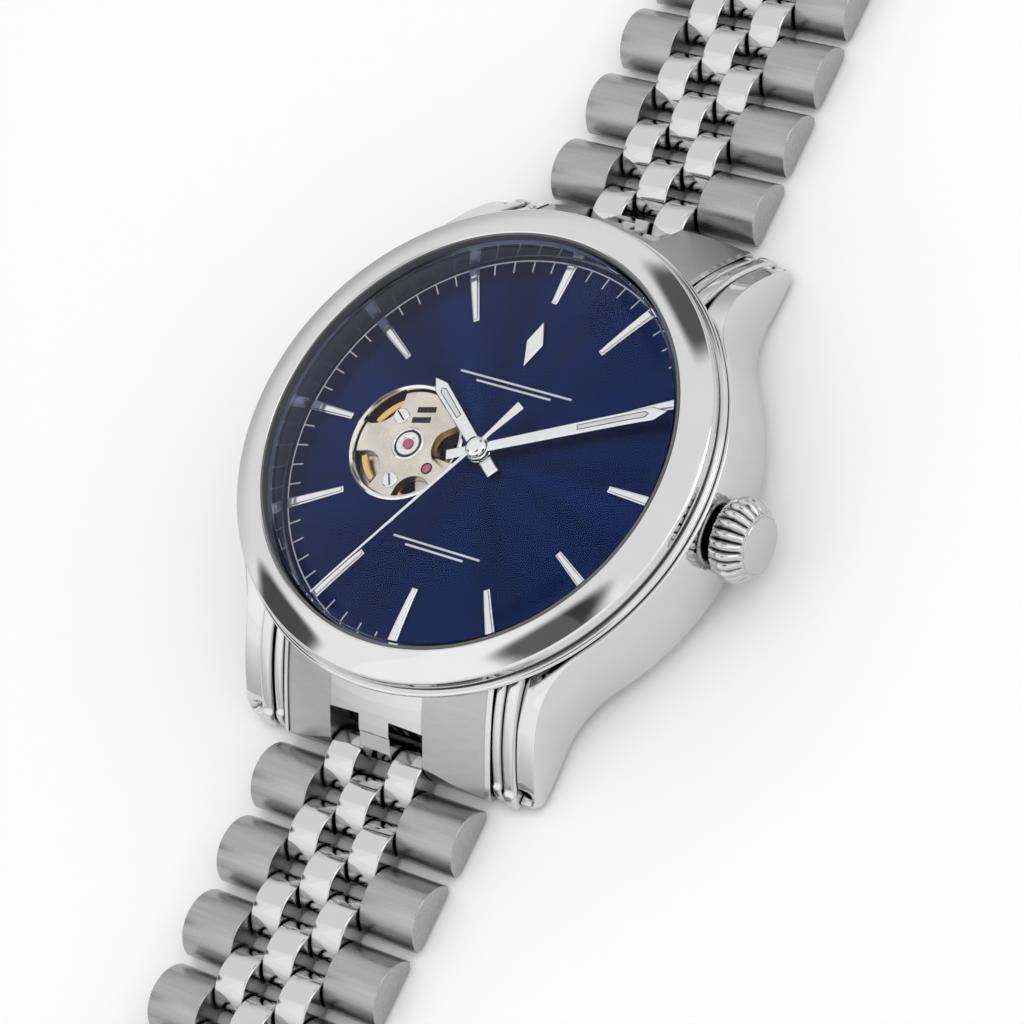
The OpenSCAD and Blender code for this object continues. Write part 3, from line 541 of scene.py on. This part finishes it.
def dome(inset, count=40):
    pts = []
    for i in range(count + 1):
        r = (crystal_r - inset) * math.cos(math.pi / 2 * i / count)
        edge = 0.85 if inset == 0 else 0.45
        z = crystal_top - inset * 0.95 - 1.05 * (r / crystal_r) ** 2 - edge * (r / crystal_r) ** 13
        pts.append((max(r, 0.0) if i < count else 0.0, z))
    return pts


crystal_z0 = cr_lo.z / MM
bm = bmesh.new()
outer = dome(0)
inner = list(reversed(dome(0.55)))
lathe(bm, inner + [(17.25, crystal_z0), (crystal_r, crystal_z0)] + outer, 256)
piece("crystal_dome", bm, "case", "crystal", ["crystal"], 40)


# ---------------------------------------------------------------- bracelet links

ARC = 48


def link_section(length, height, inset=0.0):
    """D-shaped outline in (y, z), centred on y = 0, pulled in by inset."""
    arc_r = (length * length / 4 + height * height) / (2 * height)
    cz = height - arc_r
    r = arc_r - inset
    foot = 0.4 + inset * 0.5
    a0 = math.asin(max(-1.0, min(1.0, (foot - cz) / r)))
    pts = [(r * math.cos(a), cz + r * math.sin(a))
           for a in (a0 + (math.pi - 2 * a0) * k / ARC for k in range(ARC + 1))]
    half = length / 2 - 0.45 - inset * 0.4
    return pts + [(-half, inset), (half, inset)]


def link_bar(bm, x0, x1, y, length, height, edge, side=1, bores=()):
    """One link: its D section swept along X with rounded rims; bores are pin holes at y offsets."""
    stops = [(x0 + edge * (1 - math.cos(math.pi / 2 * k / 4)), edge * (1 - math.sin(math.pi / 2 * k / 4)))
             for k in range(5)]
    stops += [(x1 - (x - x0), d) for x, d in reversed(stops)]
    rings = []
    for x, inset in stops:
        rings.append([bm.verts.new((x * MM, side * (y + py) * MM, pz * MM))
                      for py, pz in link_section(length, height, inset)])
    for a, b in zip(rings, rings[1:]):
        for k in range(len(a)):
            j = (k + 1) % len(a)
            bm.faces.new((a[k], a[j], b[j], b[k]))
    if not bores:
        bm.faces.new(rings[0])
        bm.faces.new(list(reversed(rings[-1])))
        return
    loops = [[rings[0]], [rings[-1]]]
    for offset in bores:
        turns = [2 * math.pi * k / BORE_STEPS for k in range(BORE_STEPS)]
        ends = [[bm.verts.new((x * MM, side * (y + offset + BORE_R * math.cos(t)) * MM,
                               (PIN_Z + BORE_R * math.sin(t)) * MM)) for t in turns] for x in (x0, x1)]
        for k in range(BORE_STEPS):
            j = (k + 1) % BORE_STEPS
            bm.faces.new((ends[0][k], ends[1][k], ends[1][j], ends[0][j]))
        loops[0].append(ends[0])
        loops[1].append(ends[1])
    for cap in loops:
        edges = [bm.edges.get((loop[k - 1], loop[k])) for loop in cap for k in range(len(loop))]
        bmesh.ops.triangle_fill(bm, use_beauty=True, edges=edges)


def rod(bm, x0, x1, y, z, r, steps=24):
    """Rod along X from x0 to x1 with small chamfers at its ends, in mm."""
    chamfer = 0.06
    place = Matrix.Translation((0, y, z)) @ Matrix.Rotation(math.pi / 2, 4, "Y")
    lathe(bm, [(0, x0), (r - chamfer, x0), (r, x0 + chamfer), (r, x1 - chamfer), (r - chamfer, x1),
               (0, x1)], steps, place)


for half, side in (("12", 1), ("6", -1)):
    for i in range(1, 9):
        node = f"link_{half}_{i}"
        body = f"unit_{half}_{i}"
        lo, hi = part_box(node)
        half_w = hi.x / MM
        near = (lo.y if side > 0 else -hi.y) / MM
        inner_y = near + LINK_LEN / 2
        outer_y = inner_y + PITCH
        bm = bmesh.new()
        for s in (-1, 1):
            a, b = (OUTER_X0, half_w) if s > 0 else (-half_w, -OUTER_X0)
            link_bar(bm, a, b, outer_y, LINK_LEN, LINK_H, 0.12, side)
        piece(f"{node}_outer", bm, body, "brushed", [node], 30)
        bm = bmesh.new()
        link_bar(bm, -CENTRE_X, CENTRE_X, outer_y, LINK_LEN, LINK_H, 0.16, side)
        piece(f"{node}_centre", bm, body, "link_shine", angle=30)
        bm = bmesh.new()
        for s in (-1, 1):
            a, b = (INNER_X0, INNER_X1) if s > 0 else (-INNER_X1, -INNER_X0)
            link_bar(bm, a, b, inner_y, LINK_LEN, LINK_H, 0.16, side, (-PITCH / 2, PITCH / 2))
        piece(f"{node}_inner", bm, body, "link_shine", angle=30)
        bm = bmesh.new()
        for dy in (-PITCH / 2, PITCH / 2):
            rod(bm, -OUTER_X0 - 0.4, OUTER_X0 + 0.4, side * (outer_y + dy), PIN_Z, 0.5)
        piece(f"{node}_pins", bm, body, "pin")


# ---------------------------------------------------------------- carried-over and refined nodes


cm_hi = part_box("case_middle")[1]
CASE_R, CASE_Z0, CASE_Z1 = 21.3, 1.2, 8.3
TIP_Y = cm_hi.y / MM
LUG_X = 14.3
LUG_IN = 10.3
PLATE_X = 12.68
RIB_ROOT_R = 18.7      # the ribs start inside the case wall


def lug_top(y, lift=0.0):
    t = max(0.0, min(1.0, (y - 12) / (TIP_Y - 12)))
    return lift + CASE_Z1 * (1 - t ** 2.1) + 0.55 * t


def lug_foot(y):
    t = max(0.0, min(1.0, (y - 13) / 9.0))
    return CASE_Z0 - (CASE_Z0 - 0.12) * t * t * (3 - 2 * t)


def plan_outline():
    """Quarter plan of the flank and lug in mm.

    It follows the case circle, a wide sweep, the lug's side and its rounded tip.
    """
    pts = []
    blend = 10.0
    # circle of radius `blend` outside the case, tangent to it and to the lug's side
    cx = LUG_X + blend
    cy = math.sqrt((CASE_R + blend) ** 2 - cx ** 2)
    a_touch = math.atan2(cy, cx)
    for k in range(200):
        a = a_touch * k / 200
        pts.append((CASE_R * math.cos(a), CASE_R * math.sin(a)))
    a0 = math.pi + a_touch
    for k in range(81):
        a = a0 + (math.pi - a0) * k / 80
        pts.append((cx + blend * math.cos(a), cy + blend * math.sin(a)))
    end, r = TIP_Y - 0.45, 0.75
    y0 = pts[-1][1]
    for k in range(1, 24):
        pts.append((LUG_X, y0 + (end - r - y0) * k / 24))
    for k in range(13):
        a = math.pi / 2 * k / 12
        pts.append((LUG_X - r + r * math.cos(a), end - r + r * math.sin(a)))
    for k in range(1, 5):
        pts.append((LUG_X - r + (PLATE_X - LUG_X + r) * k / 4, end))
    return pts


def flank(bm, sx, sy):
    """One quarter of the flank and its lug plate as a loft along the plan outline."""
    pts = plan_outline()
    tip = pts[-1][1]
    rows = []
    for i, (x, y) in enumerate(pts):
        a, b = pts[max(0, i - 1)], pts[min(len(pts) - 1, i + 1)]
        t = Vector((b[0] - a[0], b[1] - a[1])).normalized()
        if i == 0:
            t = Vector((0, 1))
        nrm = Vector((t.y, -t.x))
        top, foot = lug_top(y), lug_foot(y)
        end = max(0.0, (y - (tip - 1.2)) / 1.2)
        foot += 0.25 * end ** 2
        top = max(top - 0.3 * end ** 2, foot + 0.35)
        tall = top - foot
        e = min(0.16, tall * 0.3)
        barrel = 0.08 * min(1.0, tall / 7)
        q = Vector((x, y))
        run = []

        def put(inset, z):
            p = q - nrm * inset
            run.append((p.x, p.y, z))

        lead = min(1.0, 0.9 if y < 14 else max(0.0, (18 - y) / 4.4))
        put(1.6, foot)
        put(0.55 * lead + 0.2, foot)
        for k in range(5):
            c = math.pi / 2 * k / 4
            put(e * (1 - math.sin(c)) + 0.0, foot + e * (1 - math.cos(c)))
        for k in range(1, 10):
            u = k / 10
            put(-barrel * math.sin(math.pi * u), foot + e + (tall - 2 * e) * u)
        for k in range(5):
            c = math.pi / 2 * k / 4
            put(e * (1 - math.cos(c)), top - e + e * math.sin(c))
        # shelf inwards to the groove beside the ribs or to the wall under the bead
        depth_in = 0.9
        if x > PLATE_X + 0.05 and y > 15:
            inner_x = max(PLATE_X, 0)
            far = Vector((inner_x, y)) if nrm.x > 0.5 else None
            if far is not None:
                depth_in = (x - inner_x) / max(0.3, nrm.x)
        r_wall = 20.5
        reach = q.length - r_wall
        if reach > 0 and (q - nrm * depth_in).length < r_wall:
            lo_d, hi_d = 0.0, depth_in
            for _ in range(20):
                mid = (lo_d + hi_d) / 2
                if (q - nrm * mid).length > r_wall:
                    lo_d = mid
                else:
                    hi_d = mid
            depth_in = lo_d
        depth_in = max(depth_in, e + 0.05)
        put(depth_in * 0.6 + e * 0.4, top + 0.0)
        put(depth_in, top)
        put(depth_in, foot + 0.02 if (q - nrm * depth_in).length > r_wall + 0.05 else min(top, 7.0))
        rows.append([bm.verts.new((sx * a * MM, sy * b * MM, c * MM)) for a, b, c in run])
    for a, b in zip(rows, rows[1:]):
        for k in range(len(a) - 1):
            bm.faces.new((a[k], b[k], b[k + 1], a[k + 1]))
    bm.faces.new(rows[-1])


def rib(bm, sx, sy, x0, x1, lift, short):
    """One polished rib beside an end link: a side outline swept along X with rounded rims."""
    tip = TIP_Y - short
    root = math.sqrt(RIB_ROOT_R ** 2 - x0 ** 2)
    top = [(y, lug_top(y, lift)) for y in [root + (tip - 0.7 - root) * k / 40 for k in range(41)]]
    last_y, last_z = top[-1]
    nose = [(last_y + 0.7 * math.sin(a), last_z - (last_z - 0.45) * (1 - math.cos(a)))
            for a in (math.pi / 16 * k for k in range(1, 9))]
    foot = [(tip - 0.12, 0.2), (tip - 0.4, 0.12), (tip - 3.2, 0.12), (17.5, 1.0), (root, 1.4)]
    outline = top + nose + foot
    count = len(outline)

    def inset(d):
        out = []
        for k in range(count):
            a, b = Vector(outline[k - 1]), Vector(outline[(k + 1) % count])
            t = (b - a).normalized()
            out.append((outline[k][0] + t.y * d, outline[k][1] - t.x * d))
        return out

    e = 0.36
    rings = []
    stops = [(x0 + e * (1 - math.cos(math.pi / 2 * k / 6)), e * (1 - math.sin(math.pi / 2 * k / 6)))
             for k in range(7)]
    stops += [(x1 - (x - x0), d) for x, d in reversed(stops)]
    for x, d in stops:
        rings.append([bm.verts.new((sx * x * MM, sy * y * MM, z * MM)) for y, z in inset(d)])
    for a, b in zip(rings, rings[1:]):
        for k in range(count):
            j = (k + 1) % count
            bm.faces.new((a[k], a[j], b[j], b[k]))
    bm.faces.new(rings[0])
    bm.faces.new(list(reversed(rings[-1])))


bm = bmesh.new()
z1 = CASE_Z1
core = [(18.2, 1.25), (20.0, 1.25), (19.7, 1.6), (19.7, z1 - 0.58), (20.5, z1 - 0.55), (20.5, z1 + 0.02),
        (20.95, z1 + 0.05), (21.02, z1 + 0.2), (20.95, z1 + 0.36), (20.78, z1 + 0.42), (20.74, z1 + 0.5),
        (20.4, z1 + 0.58), (17.9, z1 + 0.6), (17.9, 7.0), (17.9, 2.0), (18.2, 1.9), (18.2, 1.25)]
lathe(bm, rounded(core, 0.06), 256)
piece("case_core", bm, "case", "polished", ["case_middle"])
bm = bmesh.new()
for sx in (-1, 1):
    for sy in (-1, 1):
        flank(bm, sx, sy)
piece("case_flanks", bm, "case", "polished", angle=40)
bm = bmesh.new()
for sx in (-1, 1):
    for sy in (-1, 1):
        rib(bm, sx, sy, LUG_IN, LUG_IN + 0.95, 0.25, 0.25)
        rib(bm, sx, sy, LUG_IN + 1.1, LUG_IN + 2.3, 0.45, 0.0)
piece("lug_ribs", bm, "case", "polished", angle=40)
keep("end_link_12", "end_link")
keep("end_link_6", "end_link")
refine("hour_markers", "rhodium", 0.05)


def turned(points, angle):
    """Clockwise turn about the dial's centre."""
    c, s = math.cos(math.radians(angle)), math.sin(math.radians(angle))
    return [(x * c + y * s, -x * s + y * c) for x, y in points]


def slab(bm, outline, z0, z1, edge=0.05):
    """Flat piece with a chamfered rim."""
    count = len(outline)
    area2 = sum(outline[k - 1][0] * outline[k][1] - outline[k][0] * outline[k - 1][1] for k in range(count))
    turn = 1 if area2 > 0 else -1

    def inset(d):
        out = []
        for k in range(count):
            p, a, b = Vector(outline[k]), Vector(outline[k - 1]), Vector(outline[(k + 1) % count])
            u, v = (p - a).normalized(), (b - p).normalized()
            nu, nv = Vector((-u.y, u.x)) * turn, Vector((-v.y, v.x)) * turn
            m = (nu + nv)
            m = m / max(0.3, m.length_squared / 2)
            out.append(p + m * d)
        return out

    rings = []
    for d, z in ((edge, z0), (0, z0 + edge), (0, z1 - edge), (edge, z1)):
        rings.append([bm.verts.new((q.x * MM, q.y * MM, z * MM)) for q in inset(d)])
    for a, b in zip(rings, rings[1:]):
        for k in range(count):
            j = (k + 1) % count
            bm.faces.new((a[k], a[j], b[j], b[k]))
    bm.faces.new(rings[0])
    bm.faces.new(list(reversed(rings[-1])))


def hand(name, body, node, angle, z, length, hub, tip_w, tail, hub_r, bore, slot_a, slot_b, slot_w):
    """Baton hand: pointed blade, square tail, a bored hub ring and a lume strip let into the blade, with a
    near-black rim of painted shade round the strip.
    """
    bm = bmesh.new()
    near = bore + 0.05
    blade = [(-hub / 2, near), (hub / 2, near), (tip_w / 2, length - tip_w * 0.95), (0, length),
             (-tip_w / 2, length - tip_w * 0.95)]
    stub = [(-hub / 2, -tail), (hub / 2, -tail), (hub / 2, -near), (-hub / 2, -near)]
    for outline in (blade, stub):
        slab(bm, turned(outline, angle), z, z + 0.18, 0.085)
    lathe(bm, [(bore, z - 0.02), (hub_r - 0.05, z - 0.02), (hub_r, z + 0.03), (hub_r, z + 0.15),
               (hub_r - 0.05, z + 0.2), (bore, z + 0.2), (bore, z - 0.02)], 64)
    piece(name, bm, body, "rhodium", [node], 25)
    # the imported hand's own pipe and pinion, cut off under the blade
    bm = bmesh.new()
    bm.from_mesh(frame["nodes"][node].data)
    bmesh.ops.remove_doubles(bm, verts=bm.verts, dist=2e-7)
    bmesh.ops.bisect_plane(bm, geom=bm.verts[:] + bm.edges[:] + bm.faces[:], dist=1e-8,
                           plane_co=(0, 0, (z - 0.01) * MM), plane_no=(0, 0, 1), clear_outer=True)
    bmesh.ops.triangle_fill(bm, use_beauty=True, edges=[e for e in bm.edges if e.is_boundary])
    piece(name + "_pipe", bm, body, "gilt")
    bm = bmesh.new()
    half = slot_w / 2
    strip = [(-half * 0.8, slot_a), (half * 0.8, slot_a), (half, slot_b - 0.3), (0, slot_b),
             (-half, slot_b - 0.3)]
    slab(bm, turned(strip, angle), z + 0.1, z + 0.198, 0.02)
    piece(name + "_lume", bm, body, "lume")
    # painted shade: a near-black slab a little larger than the lume strip shows as a dark rim round it,
    # standing in for the shade in the lume's channel
    bm = bmesh.new()
    lume_shade_rim = [(math.copysign(abs(x) + 0.055, x) if x else 0, y + (0.07 if y > slot_a else -0.06))
            for x, y in strip]
    slab(bm, turned(lume_shade_rim, angle), z + 0.1, z + 0.186, 0.004)
    piece(name + "_seat", bm, body, "void")


# the hands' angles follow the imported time
def tip_angle(node):
    mesh = frame["nodes"][node].data
    far = max(mesh.vertices, key=lambda v: v.co.x ** 2 + v.co.y ** 2).co
    return math.degrees(math.atan2(far.x, far.y))


DIAL_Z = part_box("dial")[1].z / MM
hand("hour_hand_fine", "hours", "hour_hand", tip_angle("hour_hand"), DIAL_Z + 0.45,
     length=8.5, hub=1.05, tip_w=1.3, tail=2.6, hub_r=1.05, bore=0.72, slot_a=3.9, slot_b=7.1, slot_w=0.46)
hand("minute_hand_fine", "minutes", "minute_hand", tip_angle("minute_hand"), DIAL_Z + 0.85,
     length=15.8, hub=0.85, tip_w=1.12, tail=2.7, hub_r=1.0, bore=0.37, slot_a=8.6, slot_b=14.4, slot_w=0.42)

# applied ornament: one plain lozenge, with slim printed bars over and under the centre
def bar_outline(y, half, tall=0.18):
    return [(-half, y - tall / 2), (half, y - tall / 2), (half, y + tall / 2), (-half, y + tall / 2)]


bm = bmesh.new()
slab(bm, [(0, 7.8), (0.8, 9.9), (0, 12.0), (-0.8, 9.9)], DIAL_Z, DIAL_Z + 0.3, 0.12)
piece("dial_lozenge", bm, "case", "rhodium", angle=25)
bm = bmesh.new()
for y, half in ((6.2, 5.4), (5.75, 3.6), (-8.4, 4.2), (-8.85, 2.8)):
    slab(bm, bar_outline(y, half), DIAL_Z, DIAL_Z + 0.03, 0.01)
piece("dial_printed_bars", bm, "case", "print", angle=25)


# ---------------------------------------------------------------- bridge in the dial's opening

ring_lo, ring_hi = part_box("aperture_ring")
HEART = Vector(((ring_lo.x + ring_hi.x) / 2 / MM, (ring_lo.y + ring_hi.y) / 2 / MM))
HEART_R = (ring_hi.x - ring_lo.x) / 2 / MM
PLATE_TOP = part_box("main_plate")[1].z / MM
BRIDGE_TOP = DIAL_Z - 0.32
BRIDGE_R = HEART_R - 0.5
# round bites out of the bridge: direction in degrees, distance and radius in mm
BITES = ((10, 3.9, 1.7), (145, 5.6, 2.4), (225, 4.4, 1.7), (300, 4.7, 1.7))
SCREWS = ((130, 2.7, 35), (270, 3.3, 60))      # direction, distance, turn of the slot
JEWEL = (-30, 3.1)
SLOT_TILT, SLOT_SIZE = 14, (1.7, 0.5)


def polar(direction, distance):
    """A point round the opening's centre."""
    a = math.radians(direction)
    return HEART + distance * Vector((math.cos(a), math.sin(a)))


def bridge_reach(direction):
    """How far the bridge goes from the centre before its rim or a bite."""
    reach = BRIDGE_R
    for towards, distance, radius in BITES:
        turn = math.radians(direction - towards)
        aside = distance * math.sin(turn)
        if math.cos(turn) > 0 and abs(aside) < radius:
            reach = min(reach, distance * math.cos(turn) - math.sqrt(radius ** 2 - aside ** 2))
    return reach


def tilted_bar(centre, size, turn):
    w, h = size[0] / 2, size[1] / 2
    return [(centre.x + u, centre.y + v) for u, v in turned([(-w, -h), (w, -h), (w, h), (-w, h)], turn)]


def turned_disc(bm, centre, profile, steps=64):
    """Revolves (r, height over the bridge) about an upright axis through centre."""
    lathe(bm, profile, steps, Matrix.Translation((centre.x, centre.y, BRIDGE_TOP)))


def bridge_piece(name, bm, material):
    return piece(name, bm, "case", material, angle=30)


bm = bmesh.new()
slab(bm, [tuple(polar(a, bridge_reach(a))) for a in range(0, 360, 2)], PLATE_TOP + 0.05, BRIDGE_TOP, 0.04)
bridge_piece("aperture_bridge", bm, "champagne")

bm = bmesh.new()
turned_disc(bm, HEART, [(1.42, -0.02), (1.42, 0.05), (1.36, 0.09), (1.24, 0.09), (1.18, 0.02), (1.0, 0.02),
                        (0.98, 0.07), (0.8, 0.10), (0.62, 0.04), (0.5, 0), (0, 0)])
for direction, distance, _ in SCREWS:
    turned_disc(bm, polar(direction, distance), [(0.66, -0.01), (0.66, 0.12), (0.6, 0.17), (0, 0.17)], 48)
bridge_piece("aperture_setting_and_screws", bm, "rhodium")

# painted shade: thin near-black slabs for the screw slots, two slots in the bridge, a groove ring round the
# setting and the sink round the jewel
bm = bmesh.new()
for direction, distance, turn in SCREWS:
    slab(bm, tilted_bar(polar(direction, distance), (1.12, 0.14), turn), BRIDGE_TOP + 0.165,
         BRIDGE_TOP + 0.175, 0.002)
for distance in (3.15, 2.2):
    slab(bm, tilted_bar(polar(86, distance), SLOT_SIZE, -SLOT_TILT), BRIDGE_TOP - 0.01,
         BRIDGE_TOP + 0.006, 0.002)
turned_disc(bm, HEART, [(1.2, 0.021), (1.2, 0.026), (1.02, 0.026), (1.02, 0.021)])
turned_disc(bm, polar(*JEWEL), [(0.5, -0.01), (0.5, 0.012), (0.36, 0.012), (0.36, 0)], 40)
bridge_piece("aperture_slot_shade", bm, "void")

bm = bmesh.new()
turned_disc(bm, HEART, [(0.44, -0.02), (0.44, 0.08), (0.34, 0.13), (0, 0.15)], 40)
turned_disc(bm, polar(*JEWEL), [(0.34, -0.02), (0.34, 0.03), (0.22, 0.05), (0.1, 0.02), (0, 0.02)], 40)
bridge_piece("aperture_rubies", bm, "ruby")

# gilt arcs showing in the upper-left and lower-left bites
bm = bmesh.new()
for first, last in ((124, 168), (206, 246)):
    span = range(first, last, 4)
    slab(bm, [tuple(polar(a, 4.3)) for a in span] + [tuple(polar(a, 3.7)) for a in reversed(span)],
         PLATE_TOP + 0.3, PLATE_TOP + 0.65, 0.08)
bridge_piece("gilt_arcs", bm, "gilt")

refine("seconds_hand", "rhodium", 0.025)
refine("aperture_ring", "rhodium", 0.02)
refine("clasp_cover", "brushed_y", 0.12)
refine("clasp_blade_outer", "brushed_y", 0.08)
refine("clasp_blade_inner", "brushed_y", 0.08)
refine("clasp_pusher_right", "polished", 0.1)
refine("clasp_pusher_left", "polished", 0.1)

cw_lo, cw_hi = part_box("crown")
crown_x0 = cw_lo.x / MM
crown_r = (cw_hi.y - cw_lo.y) / 2 / MM
crown_z = (cw_hi.z + cw_lo.z) / 2 / MM
FLUTES = 22
barrel = [(crown_r - 0.22 + 0.22 * math.sin(math.pi * t) - 0.7 * t ** 3, crown_x0 + 0.45 + 2.3 * t)
          for t in (k / 16 for k in range(17))]
profile = rounded([(0, crown_x0), (2.6, crown_x0), (2.72, crown_x0 + 0.24),
                   (crown_r - 0.38, crown_x0 + 0.3)], 0.1)
profile += barrel
profile += rounded([(2.5, crown_x0 + 2.9), (2.36, crown_x0 + 2.94), (2.28, crown_x0 + 2.9),
                    (2.2, crown_x0 + 3.02), (1.2, crown_x0 + 3.12), (0, crown_x0 + 3.16)], 0.06)


def fluted(r, x, angle):
    """Convex ribs with sharp valleys between them, fading out towards the end disc."""
    if r < 2.45 or x < crown_x0 + 0.44:
        return r
    depth = 0.5 * min(1.0, (r - 2.4) / 0.4)
    return r - depth * (1 - abs(math.cos(FLUTES / 2 * angle)) ** 0.8)


bm = bmesh.new()
lathe(bm, profile, FLUTES * 16,
      Matrix.Translation((0, 0, crown_z)) @ Matrix.Rotation(math.pi / 2, 4, "Y"), fluted)
piece("crown_fluted", bm, "crown_body", "crown", ["crown"], 50)
refine("main_plate", "champagne", 0.06)
refine("train_bridge", "striped", 0.06)
refine("balance_bridge", "striped", 0.06)
refine("rotor", "striped", 0.06)
refine("case_back", "back", 0.08)
refine("balance_wheel", "gilt", 0.03)
refine("rotor_bearing", "gilt", 0.05)
for n, m in (("case_back_glass", "crystal"), ("rehaut_ring", "rehaut"), ("winding_stem", "stem"),
             ("winding_pinion", "gilt"), ("dial", "dial"), ("minute_track", "print"),
             ("movement_ring", "nickel"), ("hairspring", "blued"), ("pallet_fork", "stem"),
             ("escape_wheel", "stem"), ("fourth_wheel", "gilt"), ("third_wheel", "gilt"),
             ("center_wheel", "gilt"), ("barrel", "gilt"), ("hour_wheel", "gilt"),
             ("minute_wheel", "gilt"), ("jewels", "ruby"), ("movement_screws", "blued"),
             ("spring_bars", "stem")):
    keep(n, m)


# ---------------------------------------------------------------- studio

def floor():
    bm = bmesh.new()
    bmesh.ops.create_grid(bm, x_segments=8, y_segments=8, size=2.0)
    me = bpy.data.meshes.new("floor")
    bm.to_mesh(me)
    bm.free()
    ob = bpy.data.objects.new("floor", me)
    bpy.context.scene.collection.objects.link(ob)
    ob.location = (0, 0, -0.0003)
    n = Nodes("floor_white")
    cloud = n.noise(n.mapped((4, 4, 4)), detail=3)
    n.principled(Base_Color=n.mix(cloud, grey(0.90), grey(0.93)), Roughness=n.remap(cloud, 0.75, 0.85))
    me.materials.append(n.mat)
    ob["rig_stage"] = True


floor()


def direction(azimuth, elevation):
    a, e = math.radians(azimuth), math.radians(elevation)
    return Vector((math.sin(a) * math.cos(e), -math.cos(a) * math.cos(e), math.sin(e)))


def world():
    """White studio with a few dark cards and a dimmer horizon."""
    w = bpy.data.worlds.new("studio")
    bpy.context.scene.world = w
    w.use_nodes = True
    t = w.node_tree
    t.nodes.clear()

    def add(kind, **k):
        node = t.nodes.new(kind)
        for a, b in k.items():
            setattr(node, a, b)
        return node

    def connect(a, b):
        t.links.new(a, b)

    coord = add("ShaderNodeTexCoord")
    norm = add("ShaderNodeVectorMath", operation="NORMALIZE")
    connect(coord.outputs["Generated"], norm.inputs[0])

    def ramp(socket, lo, hi, a, b):
        node = add("ShaderNodeMapRange", interpolation_type="SMOOTHSTEP")
        connect(socket, node.inputs["Value"])
        node.inputs["From Min"].default_value = lo
        node.inputs["From Max"].default_value = hi
        node.inputs["To Min"].default_value = a
        node.inputs["To Max"].default_value = b
        return node.outputs["Result"]

    def times(a, b):
        node = add("ShaderNodeMath", operation="MULTIPLY")
        connect(a, node.inputs[0])
        connect(b, node.inputs[1])
        return node.outputs[0]

    def toward(vec):
        node = add("ShaderNodeVectorMath", operation="DOT_PRODUCT")
        connect(norm.outputs[0], node.inputs[0])
        node.inputs[1].default_value = vec
        return node.outputs["Value"]

    up = toward((0, 0, 1))
    level = ramp(up, 0.0, 0.5, 0.55, 1.02)
    # broad soft light on the 6 o'clock side
    across = toward((0.10, -1, 0))
    level = times(level, ramp(across, -0.02, 0.10, 1.0, 1.15))
    # dark cards, which the bezel mirrors as short dark patches
    for az, el, inner, outer, depth in DARK_CARDS:
        c = toward(direction(az, el))
        level = times(level, ramp(c, math.cos(math.radians(outer)), math.cos(math.radians(inner)),
                                  1.0, depth))
    bg = add("ShaderNodeBackground")
    connect(level, bg.inputs["Strength"])
    bg.inputs["Color"].default_value = (1, 1, 1, 1)
    out = add("ShaderNodeOutputWorld")
    connect(bg.outputs[0], out.inputs["Surface"])


DARK_CARDS = [
    (342, 79, 7, 13, 0.05),
    (193, 42, 7, 13, 0.12),
    (287, 34, 7, 11, 0.08),
]
world()


def area(name, az, el, dist, size, power, size_y=None):
    light = bpy.data.lights.new(name, "AREA")
    light.shape = "RECTANGLE"
    light.size = size
    light.size_y = size_y or size
    light.energy = power
    ob = bpy.data.objects.new(name, light)
    bpy.context.scene.collection.objects.link(ob)
    d = direction(az, el)
    ob.location = d * dist
    ob.rotation_mode = "QUATERNION"
    ob.rotation_quaternion = (-d).to_track_quat("-Z", "Y")
    return ob


area("softbox_left", 330, 60, 0.6, 0.35, 0.05, 0.5)
area("softbox_right", 120, 45, 0.6, 0.30, 0.45, 0.5)

cam_data = bpy.data.cameras.new("camera")
cam_data.lens = 139
cam_data.sensor_width = 36
cam_data.clip_start = 0.01
cam_data.clip_end = 20
cam = bpy.data.objects.new("camera", cam_data)
bpy.context.scene.collection.objects.link(cam)
# the photograph's viewing direction; up follows from the other two
CAM_PLACE = (172.2, -78.5, 252.7)      # mm
back = Vector((0.547, -0.244, 0.801)).normalized()
right = Vector((0.803, 0.423, -0.420))
right = (right - back * right.dot(back)).normalized()
up_v = back.cross(right)
basis = Matrix((right, up_v, back)).transposed().to_4x4()
basis.translation = Vector(CAM_PLACE) * MM
cam.matrix_world = basis
bpy.context.scene.camera = cam
bpy.context.scene.view_settings.view_transform = "Standard"

lo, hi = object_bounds()
